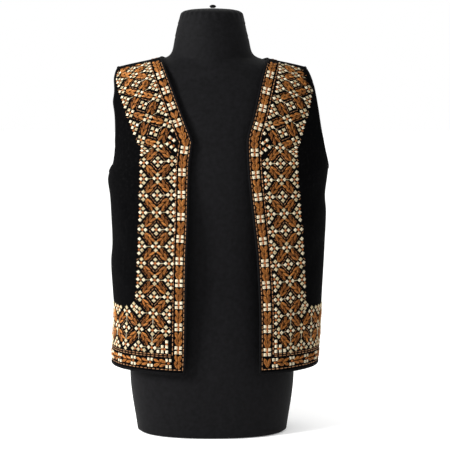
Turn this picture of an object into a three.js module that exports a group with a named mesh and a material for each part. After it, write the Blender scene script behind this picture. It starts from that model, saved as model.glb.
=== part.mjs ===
// A child's open-front folk vest of black felted wool, worn on a limbless dress form.
//
// Units are millimetres and +Z is up. The front faces -Y and the wearer's left is +X.
// The origin is the centre of the dress form's flat base.
//
// Every cloth panel lies on one surface: horizontal superellipse sections whose sizes change
// with the height. The line where front and back sections meet is the side seam low down and
// the shoulder seam above the armhole. Panels stop short of the garment's edges, which are
// bound with rolled cloth, and neighbouring pieces stay a seam gap apart.
import * as THREE from "three";

// ---- Cloth ----------------------------------------------------------------------------------
const WALL = 2.5;
const SEAM_GAP = 0.3;
const BINDING_WIDTH = 4.4;
const BINDING_THICKNESS = 3.6;
const BINDING_DEPTH = 1.1; // from the outer face of the cloth to the middle of the binding
const BINDING_SIDES = 6;
const CORNER_RADIUS = 2.5; // of the binding's middle line at a hem corner
const CORNER_STEPS = 3;
const EDGE_INSET = BINDING_WIDTH + SEAM_GAP;
const ARMHOLE_INSET = EDGE_INSET + 0.3; // a little more, because the edge curves strongly

// ---- Heights --------------------------------------------------------------------------------
const HEM_HEIGHT = 104;
const UPPER_START = 380; // rows above this height bend round the armholes
const SHOULDER_TIP_HEIGHT = 543.5;
const SURFACE_TOP = 560; // just above the neck points
const BACK_NECK_HEIGHT = 546;
const BACK_NECK_MIDDLE = 4; // how far the middle of the neckline lies to the wearer's left
const BACK_NECK_ROUNDNESS = 2.2;

// ---- Fineness of the solids -----------------------------------------------------------------
const LOWER_ROWS = 11;
const ARMHOLE_STEPS = 16;
const FRONT_COLUMNS = 12;
const SHOULDER_COLUMNS = 4;
const NECK_COLUMNS = 16;
const ROW_SAMPLES = 240;
const CENTRE_CLEARANCE = 20; // no front edge comes nearer than this to the middle
const FORM_SEGMENTS = 40;

const FRONT = -1;
const BACK = 1;
const RIGHT = -1;
const LEFT = 1;

// ---- Tables ---------------------------------------------------------------------------------
// Outer face of the cloth: half widths to the wearer's right and left of the middle, depths in
// front and behind, where the middle lies in Y, and the superellipse's exponent.
const VEST_SECTIONS = smoothTable(
  ["height", "right", "left", "front", "back", "middle", "roundness"],
  [
    [104, 150.5, 159, 98, 92, 0, 2.6],
    [122, 150, 160.5, 98, 91.5, 0, 2.6],
    [154, 148, 162, 98, 91, 0, 2.6],
    [184, 146.5, 163.5, 98, 90.2, 0, 2.6],
    [208, 148, 164.5, 98, 90, 0, 2.6],
    [256, 150.5, 167, 97.5, 90, 0, 2.6],
    [284, 148.5, 168.3, 97.2, 90, 0, 2.6],
    [330, 150, 170, 96.7, 90.6, 0, 2.6],
    [354, 151.5, 168.3, 96.4, 91.2, 0, 2.6],
    [379, 154.5, 171, 96.1, 91.8, 0, 2.6],
    [395, 151, 173, 95.8, 92, 0, 2.58],
    [404, 148, 173.5, 95.2, 92, 0, 2.55],
    [425, 149.5, 174, 93.5, 92, 0, 2.47],
    [440, 152, 174.5, 91.5, 92, 0, 2.4],
    [460, 154, 173.4, 88, 89.5, 0.6, 2.32],
    [478, 156, 172, 83.6, 86.4, 1.4, 2.25],
    [494, 158, 169.3, 78.7, 82.5, 2.4, 2.18],
    [508, 156, 166.5, 73.7, 78.6, 3.3, 2.05],
    [524, 155, 160, 67.4, 72.9, 4.3, 1.91],
    [535, 150.5, 152.5, 63, 69, 4.9, 1.8],
    [543.5, 141, 141, 60, 65, 5, 1.7],
    [546.5, 130, 130, 58.8, 63.5, 5, 1.68],
    [549.5, 117, 117, 57.5, 62, 5, 1.66],
    [552, 105, 105, 56.7, 61, 5, 1.64],
    [554.6, 93, 93, 56, 60, 5, 1.62],
    [556.8, 84, 84, 55.6, 59.2, 5, 1.61],
    [558.4, 78, 78, 55.3, 58.6, 5, 1.6],
    [560, 72, 72, 55, 58, 5, 1.6],
  ],
);

// Finished front edge, hem to neck point: its distance from the middle on each front.
const FRONT_EDGE = smoothTable(
  ["height", "right", "left"],
  [
    [104, 38.7, 68.6],
    [143, 37.2, 68.6],
    [174, 36.8, 68.6],
    [265, 35.6, 64.9],
    [326, 33.1, 58.7],
    [399, 31.1, 51.2],
    [430, 27.5, 49.8],
    [437, 26.5, 49.7],
    [446, 29.4, 50.9],
    [472, 39.4, 58.4],
    [540, 65.3, 75],
    [559, 73, 81.4],
  ],
);

// Armhole of each side: the height of its lowest point, and how far it cuts into front and back.
const ARMHOLES = {
  [RIGHT]: { bottom: 392, [FRONT]: 42, [BACK]: 38 },
  [LEFT]: { bottom: 397, [FRONT]: 42, [BACK]: 38 },
};
const ARMHOLE_EGG = 0.25; // how much wider the armhole is below its middle than above it

// Soft folds of the cloth: each lies along a line from one end to the other, in X and height,
// stands out by its rise (or in, where that is negative) and fades over its width.
const FOLDS = [
  { face: FRONT, x1: -128, z1: 330, x2: -112, z2: 210, width: 16, rise: 2.0 },
  { face: FRONT, x1: -60, z1: 190, x2: -66, z2: 112, width: 20, rise: 1.6 },
  { face: FRONT, x1: 140, z1: 345, x2: 132, z2: 235, width: 15, rise: 2.2 },
  { face: FRONT, x1: 92, z1: 200, x2: 98, z2: 112, width: 19, rise: 1.8 },
  { face: BACK, x1: -70, z1: 260, x2: -92, z2: 112, width: 24, rise: 3.0 },
  { face: BACK, x1: 8, z1: 210, x2: 2, z2: 108, width: 26, rise: 2.4 },
  { face: BACK, x1: 82, z1: 280, x2: 104, z2: 112, width: 24, rise: 3.2 },
  { face: BACK, x1: -118, z1: 392, x2: -84, z2: 322, width: 15, rise: 2.2 },
  { face: BACK, x1: 132, z1: 398, x2: 96, z2: 330, width: 15, rise: 2.4 },
];

// Dress form: half width, depths in front and behind, middle in Y, and exponent.
const FORM_SECTIONS = smoothTable(
  ["height", "half", "front", "back", "middle", "roundness"],
  [
    [0, 112, 78, 80, 0, 2.3],
    [90, 123, 86, 86, 0, 2.3],
    [160, 117, 81, 83, 0, 2.3],
    [240, 108, 75, 78, 0, 2.3],
    [320, 114, 81, 83, 0, 2.3],
    [390, 122, 89, 86, 0, 2.3],
    [430, 127, 86, 87, 0, 2.3],
    [470, 134, 79, 83, 1, 2.25],
    [500, 139, 71, 75, 2.6, 2.1],
    [520, 141, 62, 68, 4, 1.95],
    [530, 140.5, 58, 64, 4.6, 1.85],
    [540.3, 136, 56.5, 61, 5, 1.73],
    [543.3, 127.5, 55.2, 59.7, 5, 1.7],
    [546.3, 115, 54, 58.5, 5, 1.68],
    [548.8, 103.5, 53.2, 57, 5, 1.66],
    [551.4, 91.5, 52.5, 55.5, 5, 1.64],
    [553.6, 82.5, 51.9, 54.4, 5, 1.64],
    [555.5, 75.5, 51.4, 53.8, 5, 1.66],
    [558, 68, 50.8, 53, 5, 1.71],
    [562, 62, 50, 52.4, 4.8, 1.86],
    [568, 58.5, 49.4, 51, 4.4, 1.96],
    [584, 55, 48.5, 49, 3.4, 2],
    [600, 51.5, 47, 47.5, 2.8, 2],
    [617, 47.5, 45, 45, 2.5, 2],
    [622, 46, 43.5, 43.5, 2.5, 2],
    [626, 41, 38.5, 38.5, 2.5, 2],
    [628.5, 30, 28, 28, 2.5, 2],
    [629.6, 16, 15, 15, 2.5, 2],
    [630, 4, 4, 4, 2.5, 2],
  ],
);
const FORM_RING_HEIGHTS = [
  ...[6, 45, 90, 125, 160, 200, 240, 280, 320, 355, 390, 410, 430, 450, 470, 485, 500, 511, 520],
  ...[526, 531.5, 536, 540.3, 543.3, 546.3, 548.8, 551.4, 553.6, 555.5, 558, 562, 568, 576],
  ...[590, 604, 617, 622, 626, 628.5, 629.6, 630],
];
const FORM_BASE_ROUNDING = [
  { height: 0, inset: 6 },
  { height: 1.8, inset: 1.8 },
];
const KNOT = { x: 1.5, y: 2.5, radius: 4.5, height: 5, segments: 12, rings: 6 };

const WOOL = new THREE.MeshStandardMaterial({ color: 0x141312, roughness: 0.95, metalness: 0 });
const BRAID = new THREE.MeshStandardMaterial({ color: 0x0e0d0d, roughness: 0.8, metalness: 0 });
const JERSEY = new THREE.MeshStandardMaterial({ color: 0x17161a, roughness: 0.9, metalness: 0 });

// ---- Curves through tables ------------------------------------------------------------------

/** Smooth, never overshooting curves through a table's columns, as functions of the first. */
function smoothTable(names, rows) {
  const heights = rows.map((row) => row[0]);
  const columns = {};
  names.slice(1).forEach((name, column) => {
    columns[name] = smoothCurve(heights, rows.map((row) => row[column + 1]));
  });
  return columns;
}

function smoothCurve(at, values) {
  const last = at.length - 1;
  const slopes = [];
  for (let i = 0; i < last; i += 1) {
    slopes.push((values[i + 1] - values[i]) / (at[i + 1] - at[i]));
  }
  const tangents = values.map((_, i) => {
    const before = slopes[Math.max(i - 1, 0)];
    const after = slopes[Math.min(i, last - 1)];
    return before * after > 0 ? (2 * before * after) / (before + after) : 0;
  });
  return (position) => {
    const inside = Math.min(Math.max(position, at[0]), at[last]);
    let i = 0;
    while (i < last - 1 && inside > at[i + 1]) {
      i += 1;
    }
    const span = at[i + 1] - at[i];
    const t = (inside - at[i]) / span;
    const rise = values[i + 1] - values[i];
    const startPull = span * tangents[i] - rise;
    const endPull = span * tangents[i + 1] - rise;
    return values[i] + t * rise + t * (1 - t) * ((1 - t) * startPull - t * endPull);
  };
}

/** The place between low and high where a rising function passes zero. */
function findCrossing(rising, low, high) {
  let below = low;
  let above = high;
  for (let pass = 0; pass < 40; pass += 1) {
    const middle = (below + above) / 2;
    if (rising(middle) < 0) {
      below = middle;
    } else {
      above = middle;
    }
  }
  return (below + above) / 2;
}

const mix = (from, to, share) => from + (to - from) * share;
const sideName = (side) => (side === RIGHT ? "right" : "left");

// ---- The surface that the cloth lies on -----------------------------------------------------

const halfWidth = (side, height) => VEST_SECTIONS[sideName(side)](height);
const depth = (face, height) => VEST_SECTIONS[face === FRONT ? "front" : "back"](height);

/** How far in front of or behind the side line the cloth lies, at a distance from the middle. */
function sectionReach(side, face, distance, height) {
  const power = VEST_SECTIONS.roundness(height);
  const share = Math.min(Math.abs(distance) / halfWidth(side, height), 1);
  return depth(face, height) * Math.pow(1 - Math.pow(share, power), 1 / power);
}

/** Outward direction of the smooth surface at a point of it. */
function surfaceNormal(side, face, point) {
  const outside = (x, y, z) => {
    const power = VEST_SECTIONS.roundness(z);
    const across = Math.abs(x) / halfWidth(side, z);
    const through = Math.abs(y - VEST_SECTIONS.middle(z)) / depth(face, z);
    return Math.pow(across, power) + Math.pow(through, power);
  };
  const step = 0.2;
  const slope = (dx, dy, dz) =>
    outside(point.x + dx, point.y + dy, point.z + dz) -
    outside(point.x - dx, point.y - dy, point.z - dz);
  const flow = new THREE.Vector3(slope(step, 0, 0), slope(0, step, 0), slope(0, 0, step));
  if (Math.abs(point.y - VEST_SECTIONS.middle(point.z)) < step) {
    flow.y = 0;
  }
  return flow.normalize();
}

/** How far the soft folds lift the cloth at a place. */
function foldRise(face, x, z) {
  let rise = 0;
  for (const fold of FOLDS.filter((candidate) => candidate.face === face)) {
    const alongX = fold.x2 - fold.x1;
    const alongZ = fold.z2 - fold.z1;
    const length = Math.hypot(alongX, alongZ);
    const along = ((x - fold.x1) * alongX + (z - fold.z1) * alongZ) / length;
    const across = ((x - fold.x1) * alongZ - (z - fold.z1) * alongX) / length;
    const past = Math.max(0, -along, along - length);
    rise += fold.rise * Math.exp(-(across * across + past * past) / (fold.width * fold.width));
  }
  return rise;
}

/** A place of the cloth: its outer point, its outward direction, and half the seam's gap. */
function clothPlace(face, x, z) {
  const side = x < 0 ? RIGHT : LEFT;
  const reach = sectionReach(side, face, x, z);
  const onSurface = new THREE.Vector3(x, VEST_SECTIONS.middle(z) + face * reach, z);
  const normal = surfaceNormal(side, face, onSurface);
  const nearSeam = Math.min(reach / 30, 1);
  const point = onSurface.addScaledVector(normal, foldRise(face, x, z) * nearSeam * nearSeam);
  point.y += (face * SEAM_GAP) / 2;
  return { point, normal };
}

/** Height of the shoulder line above a distance from the middle; it is level past its tip. */
function ridgeHeight(side, distance) {
  const outside = (height) => distance - halfWidth(side, height);
  return findCrossing(outside, SHOULDER_TIP_HEIGHT, SURFACE_TOP);
}

// ---- Garment edges --------------------------------------------------------------------------

/** Distance from the middle of a line that runs inside the front edge, inset from it. */
function insetEdge(side, height, inset) {
  const edge = FRONT_EDGE[sideName(side)];
  const slope = (edge(height + 1) - edge(height - 1)) / 2;
  return edge(height) + inset * Math.hypot(1, slope);
}

/** Where a line inset from the front edge meets the shoulder line. */
function neckPoint(side, inset) {
  const onRidge = (distance) => distance - insetEdge(side, ridgeHeight(side, distance), inset);
  return findCrossing(onRidge, 60, 120);
}

/** Top of the back at a place: the shoulder line, or the neckline between the neck points. */
function backTop(x, inset) {
  const side = x < BACK_NECK_MIDDLE ? RIGHT : LEFT;
  const neck = neckPoint(side, inset);
  if (Math.abs(x) >= neck) {
    return ridgeHeight(side, Math.abs(x));
  }
  const share = Math.abs((x - BACK_NECK_MIDDLE) / (side * neck - BACK_NECK_MIDDLE));
  const lowest = BACK_NECK_HEIGHT - 0.9 * inset;
  return mix(lowest, ridgeHeight(side, neck), Math.pow(share, BACK_NECK_ROUNDNESS));
}

/** Lengths along a side line, from below the armhole over the shoulder to the neck. */
function measureSideLine(side) {
  const places = [{ height: UPPER_START, length: 0 }];
  for (let height = UPPER_START + 0.5; height <= SURFACE_TOP; height += 0.5) {
    const before = places[places.length - 1];
    const widening = halfWidth(side, height) - halfWidth(side, before.height);
    places.push({ height, length: before.length + Math.hypot(0.5, widening) });
  }
  return places;
}

function interpolate(places, from, to, value) {
  let i = 0;
  while (i < places.length - 2 && places[i + 1][from] < value) {
    i += 1;
  }
  const share = (value - places[i][from]) / (places[i + 1][from] - places[i][from]);
  return mix(places[i][to], places[i + 1][to], share);
}

const SIDE_LINES = { [RIGHT]: measureSideLine(RIGHT), [LEFT]: measureSideLine(LEFT) };

/** A point of a line round an armhole, outset from its edge; the turn runs from 0 low to PI. */
function armholePlace(side, face, turn, outset) {
  const line = SIDE_LINES[side];
  const bottom = interpolate(line, "height", "length", ARMHOLES[side].bottom);
  const top = interpolate(line, "height", "length", SHOULDER_TIP_HEIGHT);
  const upward = -Math.cos(turn);
  const length = (bottom + top) / 2 + upward * ((top - bottom) / 2 + outset);
  const height = interpolate(line, "length", "height", length);
  const widest = ARMHOLES[side][face] + outset;
  const chord = widest * Math.sin(turn) * (1 - ARMHOLE_EGG * upward);
  const half = halfWidth(side, height);
  const tooNear = (inward) => {
    return Math.hypot(inward, sectionReach(side, face, half - inward, height)) - chord;
  };
  return { x: half - findCrossing(tooNear, 0, half), z: height };
}

// ---- Panels: grids of rows and columns, thickened inwards -----------------------------------

/** Places at even distances, with the given number of steps, along each stretch of a row. */
function spaceAlongRow(face, xAt, heightAt, stretches) {
  const samples = [];
  for (let i = 0; i <= ROW_SAMPLES; i += 1) {
    const x = xAt(i / ROW_SAMPLES);
    const point = clothPlace(face, x, heightAt(x)).point;
    const before = samples[i - 1];
    const length = before ? before.length + point.distanceTo(before.point) : 0;
    samples.push({ x, point, length });
  }
  const whole = samples[ROW_SAMPLES].length;
  const row = [];
  let start = 0;
  for (const stretch of stretches(samples, whole)) {
    for (let step = row.length ? 1 : 0; step <= stretch.steps; step += 1) {
      const length = mix(start, stretch.end, step / stretch.steps);
      const x = interpolate(samples, "length", "x", length);
      row.push({ face, x, z: heightAt(x) });
    }
    start = stretch.end;
  }
  return row;
}

/** Rows of a front, each from the side seam or armhole to a line inset from the front edge. */
function frontRows(side, inset) {
  const rows = [];
  const addRow = (outer, heightAt) => {
    const pastEdge = (distance) => distance - insetEdge(side, heightAt(distance), inset);
    const inner = findCrossing(pastEdge, CENTRE_CLEARANCE, outer);
    const xAt = (share) => side * mix(outer, inner, share * share);
    const stretches = (_, whole) => [{ end: whole, steps: FRONT_COLUMNS }];
    rows.push(spaceAlongRow(FRONT, xAt, (x) => heightAt(Math.abs(x)), stretches));
  };
  for (let row = 0; row <= LOWER_ROWS; row += 1) {
    const height = mix(HEM_HEIGHT + EDGE_INSET, UPPER_START, row / LOWER_ROWS);
    addRow(halfWidth(side, height), () => height);
  }
  const neck = neckPoint(side, inset);
  const top = (x) => ridgeHeight(side, Math.max(x, neck));
  for (let step = 0; step <= ARMHOLE_STEPS; step += 1) {
    const turn = (Math.PI * step) / ARMHOLE_STEPS;
    const end = armholePlace(side, FRONT, turn, ARMHOLE_INSET);
    const share = (end.z - UPPER_START) / (top(end.x) - UPPER_START);
    addRow(end.x, (x) => mix(UPPER_START, top(x), share));
  }
  return rows;
}

/** Rows of the back, each from the wearer's right round to the left, below an inset neckline. */
function backRows(inset) {
  const rows = [];
  const columns = 2 * SHOULDER_COLUMNS + NECK_COLUMNS;
  const addRow = (rightEnd, leftEnd, heightAt, towardTop) => {
    const xAt = (share) => {
      const near = share < 0.5 ? rightEnd : leftEnd;
      const inward = Math.min(share, 1 - share) * 2;
      return near * (1 - inward * inward);
    };
    const stretches = (samples, whole) => {
      const rightNeck = interpolate(samples, "x", "length", -neckPoint(RIGHT, inset));
      const leftNeck = interpolate(samples, "x", "length", neckPoint(LEFT, inset));
      const even = (whole * SHOULDER_COLUMNS) / columns;
      const pull = towardTop * towardTop;
      return [
        { end: mix(even, rightNeck, pull), steps: SHOULDER_COLUMNS },
        { end: mix(whole - even, leftNeck, pull), steps: NECK_COLUMNS },
        { end: whole, steps: SHOULDER_COLUMNS },
      ];
    };
    rows.push(spaceAlongRow(BACK, xAt, heightAt, stretches));
  };
  for (let row = 0; row <= LOWER_ROWS; row += 1) {
    const height = mix(HEM_HEIGHT + EDGE_INSET, UPPER_START, row / LOWER_ROWS);
    addRow(-halfWidth(RIGHT, height), halfWidth(LEFT, height), () => height, 0);
  }
  const top = (x) => backTop(x, inset);
  for (let step = 0; step <= ARMHOLE_STEPS; step += 1) {
    const turn = (Math.PI * step) / ARMHOLE_STEPS;
    const right = armholePlace(RIGHT, BACK, turn, ARMHOLE_INSET);
    const left = armholePlace(LEFT, BACK, turn, ARMHOLE_INSET);
    const rightShare = (right.z - UPPER_START) / (top(-right.x) - UPPER_START);
    const leftShare = (left.z - UPPER_START) / (top(left.x) - UPPER_START);
    const heightAt = (x) => {
      const across = (x + right.x) / (left.x + right.x);
      return mix(UPPER_START, top(x), mix(rightShare, leftShare, across));
    };
    addRow(-right.x, left.x, heightAt, (rightShare + leftShare) / 2);
  }
  return rows;
}

/** A closed wall: the grid's outer face, its inner face, and the rim between them. */
function wallOf(rows) {
  const columns = rows[0].length;
  const outer = [];
  const inner = [];
  for (const place of rows.flat()) {
    const { point, normal } = clothPlace(place.face, place.x, place.z);
    outer.push(point);
    inner.push(point.clone().addScaledVector(normal, -WALL));
  }
  const triangles = [];
  const quad = (a, b, c, d) => triangles.push([a, b, c], [a, c, d]);
  const shift = outer.length;
  for (let r = 0; r < rows.length - 1; r += 1) {
    for (let c = 0; c < columns - 1; c += 1) {
      const at = r * columns + c;
      quad(at, at + 1, at + columns + 1, at + columns);
      quad(shift + at, shift + at + columns, shift + at + columns + 1, shift + at + 1);
    }
  }
  const rim = [];
  for (let c = 0; c < columns - 1; c += 1) {
    rim.push(c);
  }
  for (let r = 0; r < rows.length - 1; r += 1) {
    rim.push(r * columns + columns - 1);
  }
  for (let c = columns - 1; c > 0; c -= 1) {
    rim.push((rows.length - 1) * columns + c);
  }
  for (let r = rows.length - 1; r > 0; r -= 1) {
    rim.push(r * columns);
  }
  rim.forEach((from, i) => {
    const to = rim[(i + 1) % rim.length];
    quad(to, from, shift + from, shift + to);
  });
  return { points: [...outer, ...inner], triangles };
}

// ---- Bindings: oval rolls swept along the edges ---------------------------------------------

/** Middle of the binding at a place of the cloth. */
function bindingPlace(face, x, z) {
  const { point, normal } = clothPlace(face, x, z);
  return { point: point.addScaledVector(normal, -BINDING_DEPTH), normal };
}

/** An oval roll along a path; open ends are cut square to the Y axis, where seams cross. */
function roll(path, closed) {
  const points = [];
  const count = path.length;
  path.forEach((place, i) => {
    const before = path[closed ? (i + count - 1) % count : Math.max(i - 1, 0)];
    const after = path[closed ? (i + 1) % count : Math.min(i + 1, count - 1)];
    const along = after.point.clone().sub(before.point).normalize();
    if (!closed && (i === 0 || i === count - 1)) {
      along.set(0, Math.sign(along.y), 0);
    }
    const across = place.normal.clone().cross(along).normalize();
    const outward = along.clone().cross(across).normalize();
    for (let corner = 0; corner < BINDING_SIDES; corner += 1) {
      const turn = (2 * Math.PI * corner) / BINDING_SIDES;
      const point = place.point.clone();
      point.addScaledVector(across, (BINDING_WIDTH / 2) * Math.cos(turn));
      point.addScaledVector(outward, (BINDING_THICKNESS / 2) * Math.sin(turn));
      points.push(point);
    }
  });
  const triangles = [];
  const spans = closed ? count : count - 1;
  for (let i = 0; i < spans; i += 1) {
    for (let corner = 0; corner < BINDING_SIDES; corner += 1) {
      const next = (corner + 1) % BINDING_SIDES;
      const here = i * BINDING_SIDES;
      const there = ((i + 1) % count) * BINDING_SIDES;
      triangles.push([here + corner, here + next, there + next]);
      triangles.push([here + corner, there + next, there + corner]);
    }
  }
  if (!closed) {
    const last = (count - 1) * BINDING_SIDES;
    for (let corner = 1; corner < BINDING_SIDES - 1; corner += 1) {
      triangles.push([0, corner + 1, corner]);
      triangles.push([last, last + corner, last + corner + 1]);
    }
  }
  return { points, triangles };
}

/** Middle line of a front's binding: along the hem, round the corner and up to the shoulder. */
function frontBindingPath(side, panelRows) {
  const inset = BINDING_WIDTH / 2;
  const hem = HEM_HEIGHT + inset;
  const cornerHeight = hem + CORNER_RADIUS;
  const cornerX = insetEdge(side, cornerHeight, inset) + CORNER_RADIUS;
  const path = [];
  for (const place of panelRows[0].slice(0, -1)) {
    const seamPull = halfWidth(side, hem) / halfWidth(side, place.z);
    path.push(bindingPlace(FRONT, place.x * seamPull, hem));
  }
  for (let step = 0; step <= CORNER_STEPS; step += 1) {
    const turn = (Math.PI / 2) * (step / CORNER_STEPS);
    const x = cornerX - CORNER_RADIUS * Math.sin(turn);
    path.push(bindingPlace(FRONT, side * x, cornerHeight - CORNER_RADIUS * Math.cos(turn)));
  }
  for (const row of frontRows(side, inset).slice(1)) {
    const end = row[row.length - 1];
    path.push(bindingPlace(FRONT, end.x, end.z));
  }
  return path;
}

/** Middle line of the back hem's binding, from side seam to side seam. */
function backHemPath(panelRows) {
  const hem = HEM_HEIGHT + BINDING_WIDTH / 2;
  return panelRows[0].map((place) => {
    const side = place.x < 0 ? RIGHT : LEFT;
    const seamPull = halfWidth(side, hem) / halfWidth(side, place.z);
    return bindingPlace(BACK, place.x * seamPull, hem);
  });
}

/** Middle line of the back neckline's binding, from neck point to neck point. */
function backNeckPath() {
  const topRow = backRows(BINDING_WIDTH / 2).pop();
  const neck = topRow.slice(SHOULDER_COLUMNS, SHOULDER_COLUMNS + NECK_COLUMNS + 1);
  return neck.map((place) => bindingPlace(BACK, place.x, place.z));
}

/** Middle line round an armhole: up the front and down the back. */
function armholePath(side) {
  const path = [];
  for (let step = 0; step < 2 * ARMHOLE_STEPS; step += 1) {
    const inFront = step <= ARMHOLE_STEPS;
    const face = inFront ? FRONT : BACK;
    const turn = (Math.PI * (inFront ? step : 2 * ARMHOLE_STEPS - step)) / ARMHOLE_STEPS;
    const place = armholePlace(side, face, turn, BINDING_WIDTH / 2);
    const middle = bindingPlace(face, side * place.x, place.z);
    if (step % ARMHOLE_STEPS === 0) {
      middle.point.y = VEST_SECTIONS.middle(place.z);
    }
    path.push(middle);
  }
  return path;
}

// ---- Dress form -----------------------------------------------------------------------------

/** One horizontal ring of the form, made smaller all round by an inset. */
function formRing(height, tableHeight, inset) {
  const ring = [];
  const power = FORM_SECTIONS.roundness(tableHeight);
  for (let i = 0; i < FORM_SEGMENTS; i += 1) {
    const turn = (2 * Math.PI * i) / FORM_SEGMENTS;
    const across = Math.cos(turn);
    const through = Math.sin(turn);
    const half = FORM_SECTIONS.half(tableHeight) - inset;
    const reach = FORM_SECTIONS[through < 0 ? "front" : "back"](tableHeight) - inset;
    const x = Math.sign(across) * half * Math.pow(Math.abs(across), 2 / power);
    const y = Math.sign(through) * reach * Math.pow(Math.abs(through), 2 / power);
    ring.push(new THREE.Vector3(x, FORM_SECTIONS.middle(tableHeight) + y, height));
  }
  return ring;
}

/** A closed solid through rings of equal size, with flat ends. */
function stackRings(rings) {
  const size = rings[0].length;
  const triangles = [];
  for (let r = 0; r < rings.length - 1; r += 1) {
    for (let i = 0; i < size; i += 1) {
      const next = (i + 1) % size;
      const low = r * size;
      const high = low + size;
      triangles.push([low + i, low + next, high + next], [low + i, high + next, high + i]);
    }
  }
  const top = (rings.length - 1) * size;
  for (let i = 1; i < size - 1; i += 1) {
    triangles.push([0, i + 1, i], [top, top + i, top + i + 1]);
  }
  return { points: rings.flat(), triangles };
}

function formBody() {
  const rings = FORM_BASE_ROUNDING.map(({ height, inset }) => formRing(height, height, inset));
  for (const height of FORM_RING_HEIGHTS) {
    rings.push(formRing(height, height, 0));
  }
  return stackRings(rings);
}

/** The gathered knot of the jersey cover, just above the cap of the neck. */
function coverKnot() {
  const bottom = FORM_RING_HEIGHTS[FORM_RING_HEIGHTS.length - 1] + SEAM_GAP;
  const rings = [];
  for (let r = 0; r <= KNOT.rings; r += 1) {
    const turn = mix(0.12, 0.94, r / KNOT.rings) * Math.PI;
    const radius = KNOT.radius * Math.sin(turn);
    const height = bottom + (KNOT.height * (1 - Math.cos(turn))) / 2;
    const ring = [];
    for (let i = 0; i < KNOT.segments; i += 1) {
      const around = (2 * Math.PI * i) / KNOT.segments;
      const x = KNOT.x + radius * Math.cos(around);
      ring.push(new THREE.Vector3(x, KNOT.y + radius * Math.sin(around), height));
    }
    rings.push(ring);
  }
  return stackRings(rings);
}

// ---- Assembly -------------------------------------------------------------------------------

/** A mesh from points and triangles, with every face turned outwards. */
function makeMesh(name, { points, triangles }, material) {
  let volume = 0;
  for (const [a, b, c] of triangles) {
    volume += points[a].dot(points[b].clone().cross(points[c]));
  }
  const outward = volume > 0 ? triangles : triangles.map(([a, b, c]) => [a, c, b]);
  const geometry = new THREE.BufferGeometry().setFromPoints(points);
  geometry.setIndex(outward.flat());
  geometry.computeVertexNormals();
  const mesh = new THREE.Mesh(geometry, material);
  mesh.name = name;
  return mesh;
}

const vestOnForm = new THREE.Group();
const panelsOfFront = {
  [RIGHT]: frontRows(RIGHT, EDGE_INSET),
  [LEFT]: frontRows(LEFT, EDGE_INSET),
};
const backPanel = backRows(EDGE_INSET);

for (const side of [RIGHT, LEFT]) {
  const name = sideName(side);
  const panel = panelsOfFront[side];
  vestOnForm.add(makeMesh(`front_${name}`, wallOf(panel), WOOL));
  const edgePath = frontBindingPath(side, panel);
  vestOnForm.add(makeMesh(`binding_front_${name}`, roll(edgePath, false), BRAID));
  vestOnForm.add(makeMesh(`binding_armhole_${name}`, roll(armholePath(side), true), BRAID));
}
vestOnForm.add(makeMesh("back", wallOf(backPanel), WOOL));
vestOnForm.add(makeMesh("binding_back_hem", roll(backHemPath(backPanel), false), BRAID));
vestOnForm.add(makeMesh("binding_back_neck", roll(backNeckPath(), false), BRAID));
vestOnForm.add(makeMesh("form_body", formBody(), JERSEY));
vestOnForm.add(makeMesh("cover_knot", coverKnot(), JERSEY));

export default vestOnForm;
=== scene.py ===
import math

import bpy
import numpy as np
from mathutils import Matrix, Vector


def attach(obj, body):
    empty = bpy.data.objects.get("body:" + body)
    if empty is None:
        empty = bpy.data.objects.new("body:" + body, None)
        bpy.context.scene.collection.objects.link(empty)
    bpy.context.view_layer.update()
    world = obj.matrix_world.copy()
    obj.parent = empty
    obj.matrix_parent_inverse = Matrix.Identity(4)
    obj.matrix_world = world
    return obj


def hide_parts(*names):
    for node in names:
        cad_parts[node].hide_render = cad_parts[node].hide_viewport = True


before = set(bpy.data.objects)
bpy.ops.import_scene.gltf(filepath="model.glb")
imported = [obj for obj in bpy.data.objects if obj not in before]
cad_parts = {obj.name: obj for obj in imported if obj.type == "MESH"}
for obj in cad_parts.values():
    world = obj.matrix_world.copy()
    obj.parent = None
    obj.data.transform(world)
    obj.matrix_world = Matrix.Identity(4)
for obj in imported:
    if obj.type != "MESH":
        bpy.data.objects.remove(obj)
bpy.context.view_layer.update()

MM = 0.001
FRONT, BACK = -1, 1
RIGHT, LEFT = -1, 1
SIDES = {RIGHT: "right", LEFT: "left"}

# ---- Sizes and tables, the same as those of the solids ----
WALL, SEAM_GAP = 2.5, 0.3
BINDING_WIDTH, BINDING_THICKNESS, BINDING_DEPTH = 4.4, 3.6, 1.1
CORNER_RADIUS = 2.5
HEM_HEIGHT, UPPER_START, SHOULDER_TIP, SURFACE_TOP = 104, 380, 543.5, 560
BACK_NECK_HEIGHT, BACK_NECK_MIDDLE, BACK_NECK_ROUNDNESS = 546, 4, 2.2
UNDER_BINDING = 2.2  # the cloth ends in the middle of its binding
HEM_DROP, DROP_HEIGHT = 5.5, 70  # the worn fronts hang lower at their front corners
# near a side seam the folds die out, and the cloth dips into the seam
FOLDS_FADE, SEAM_DIP, SEAM_DIP_WIDTH = 30, 0.7, 2.2

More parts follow.
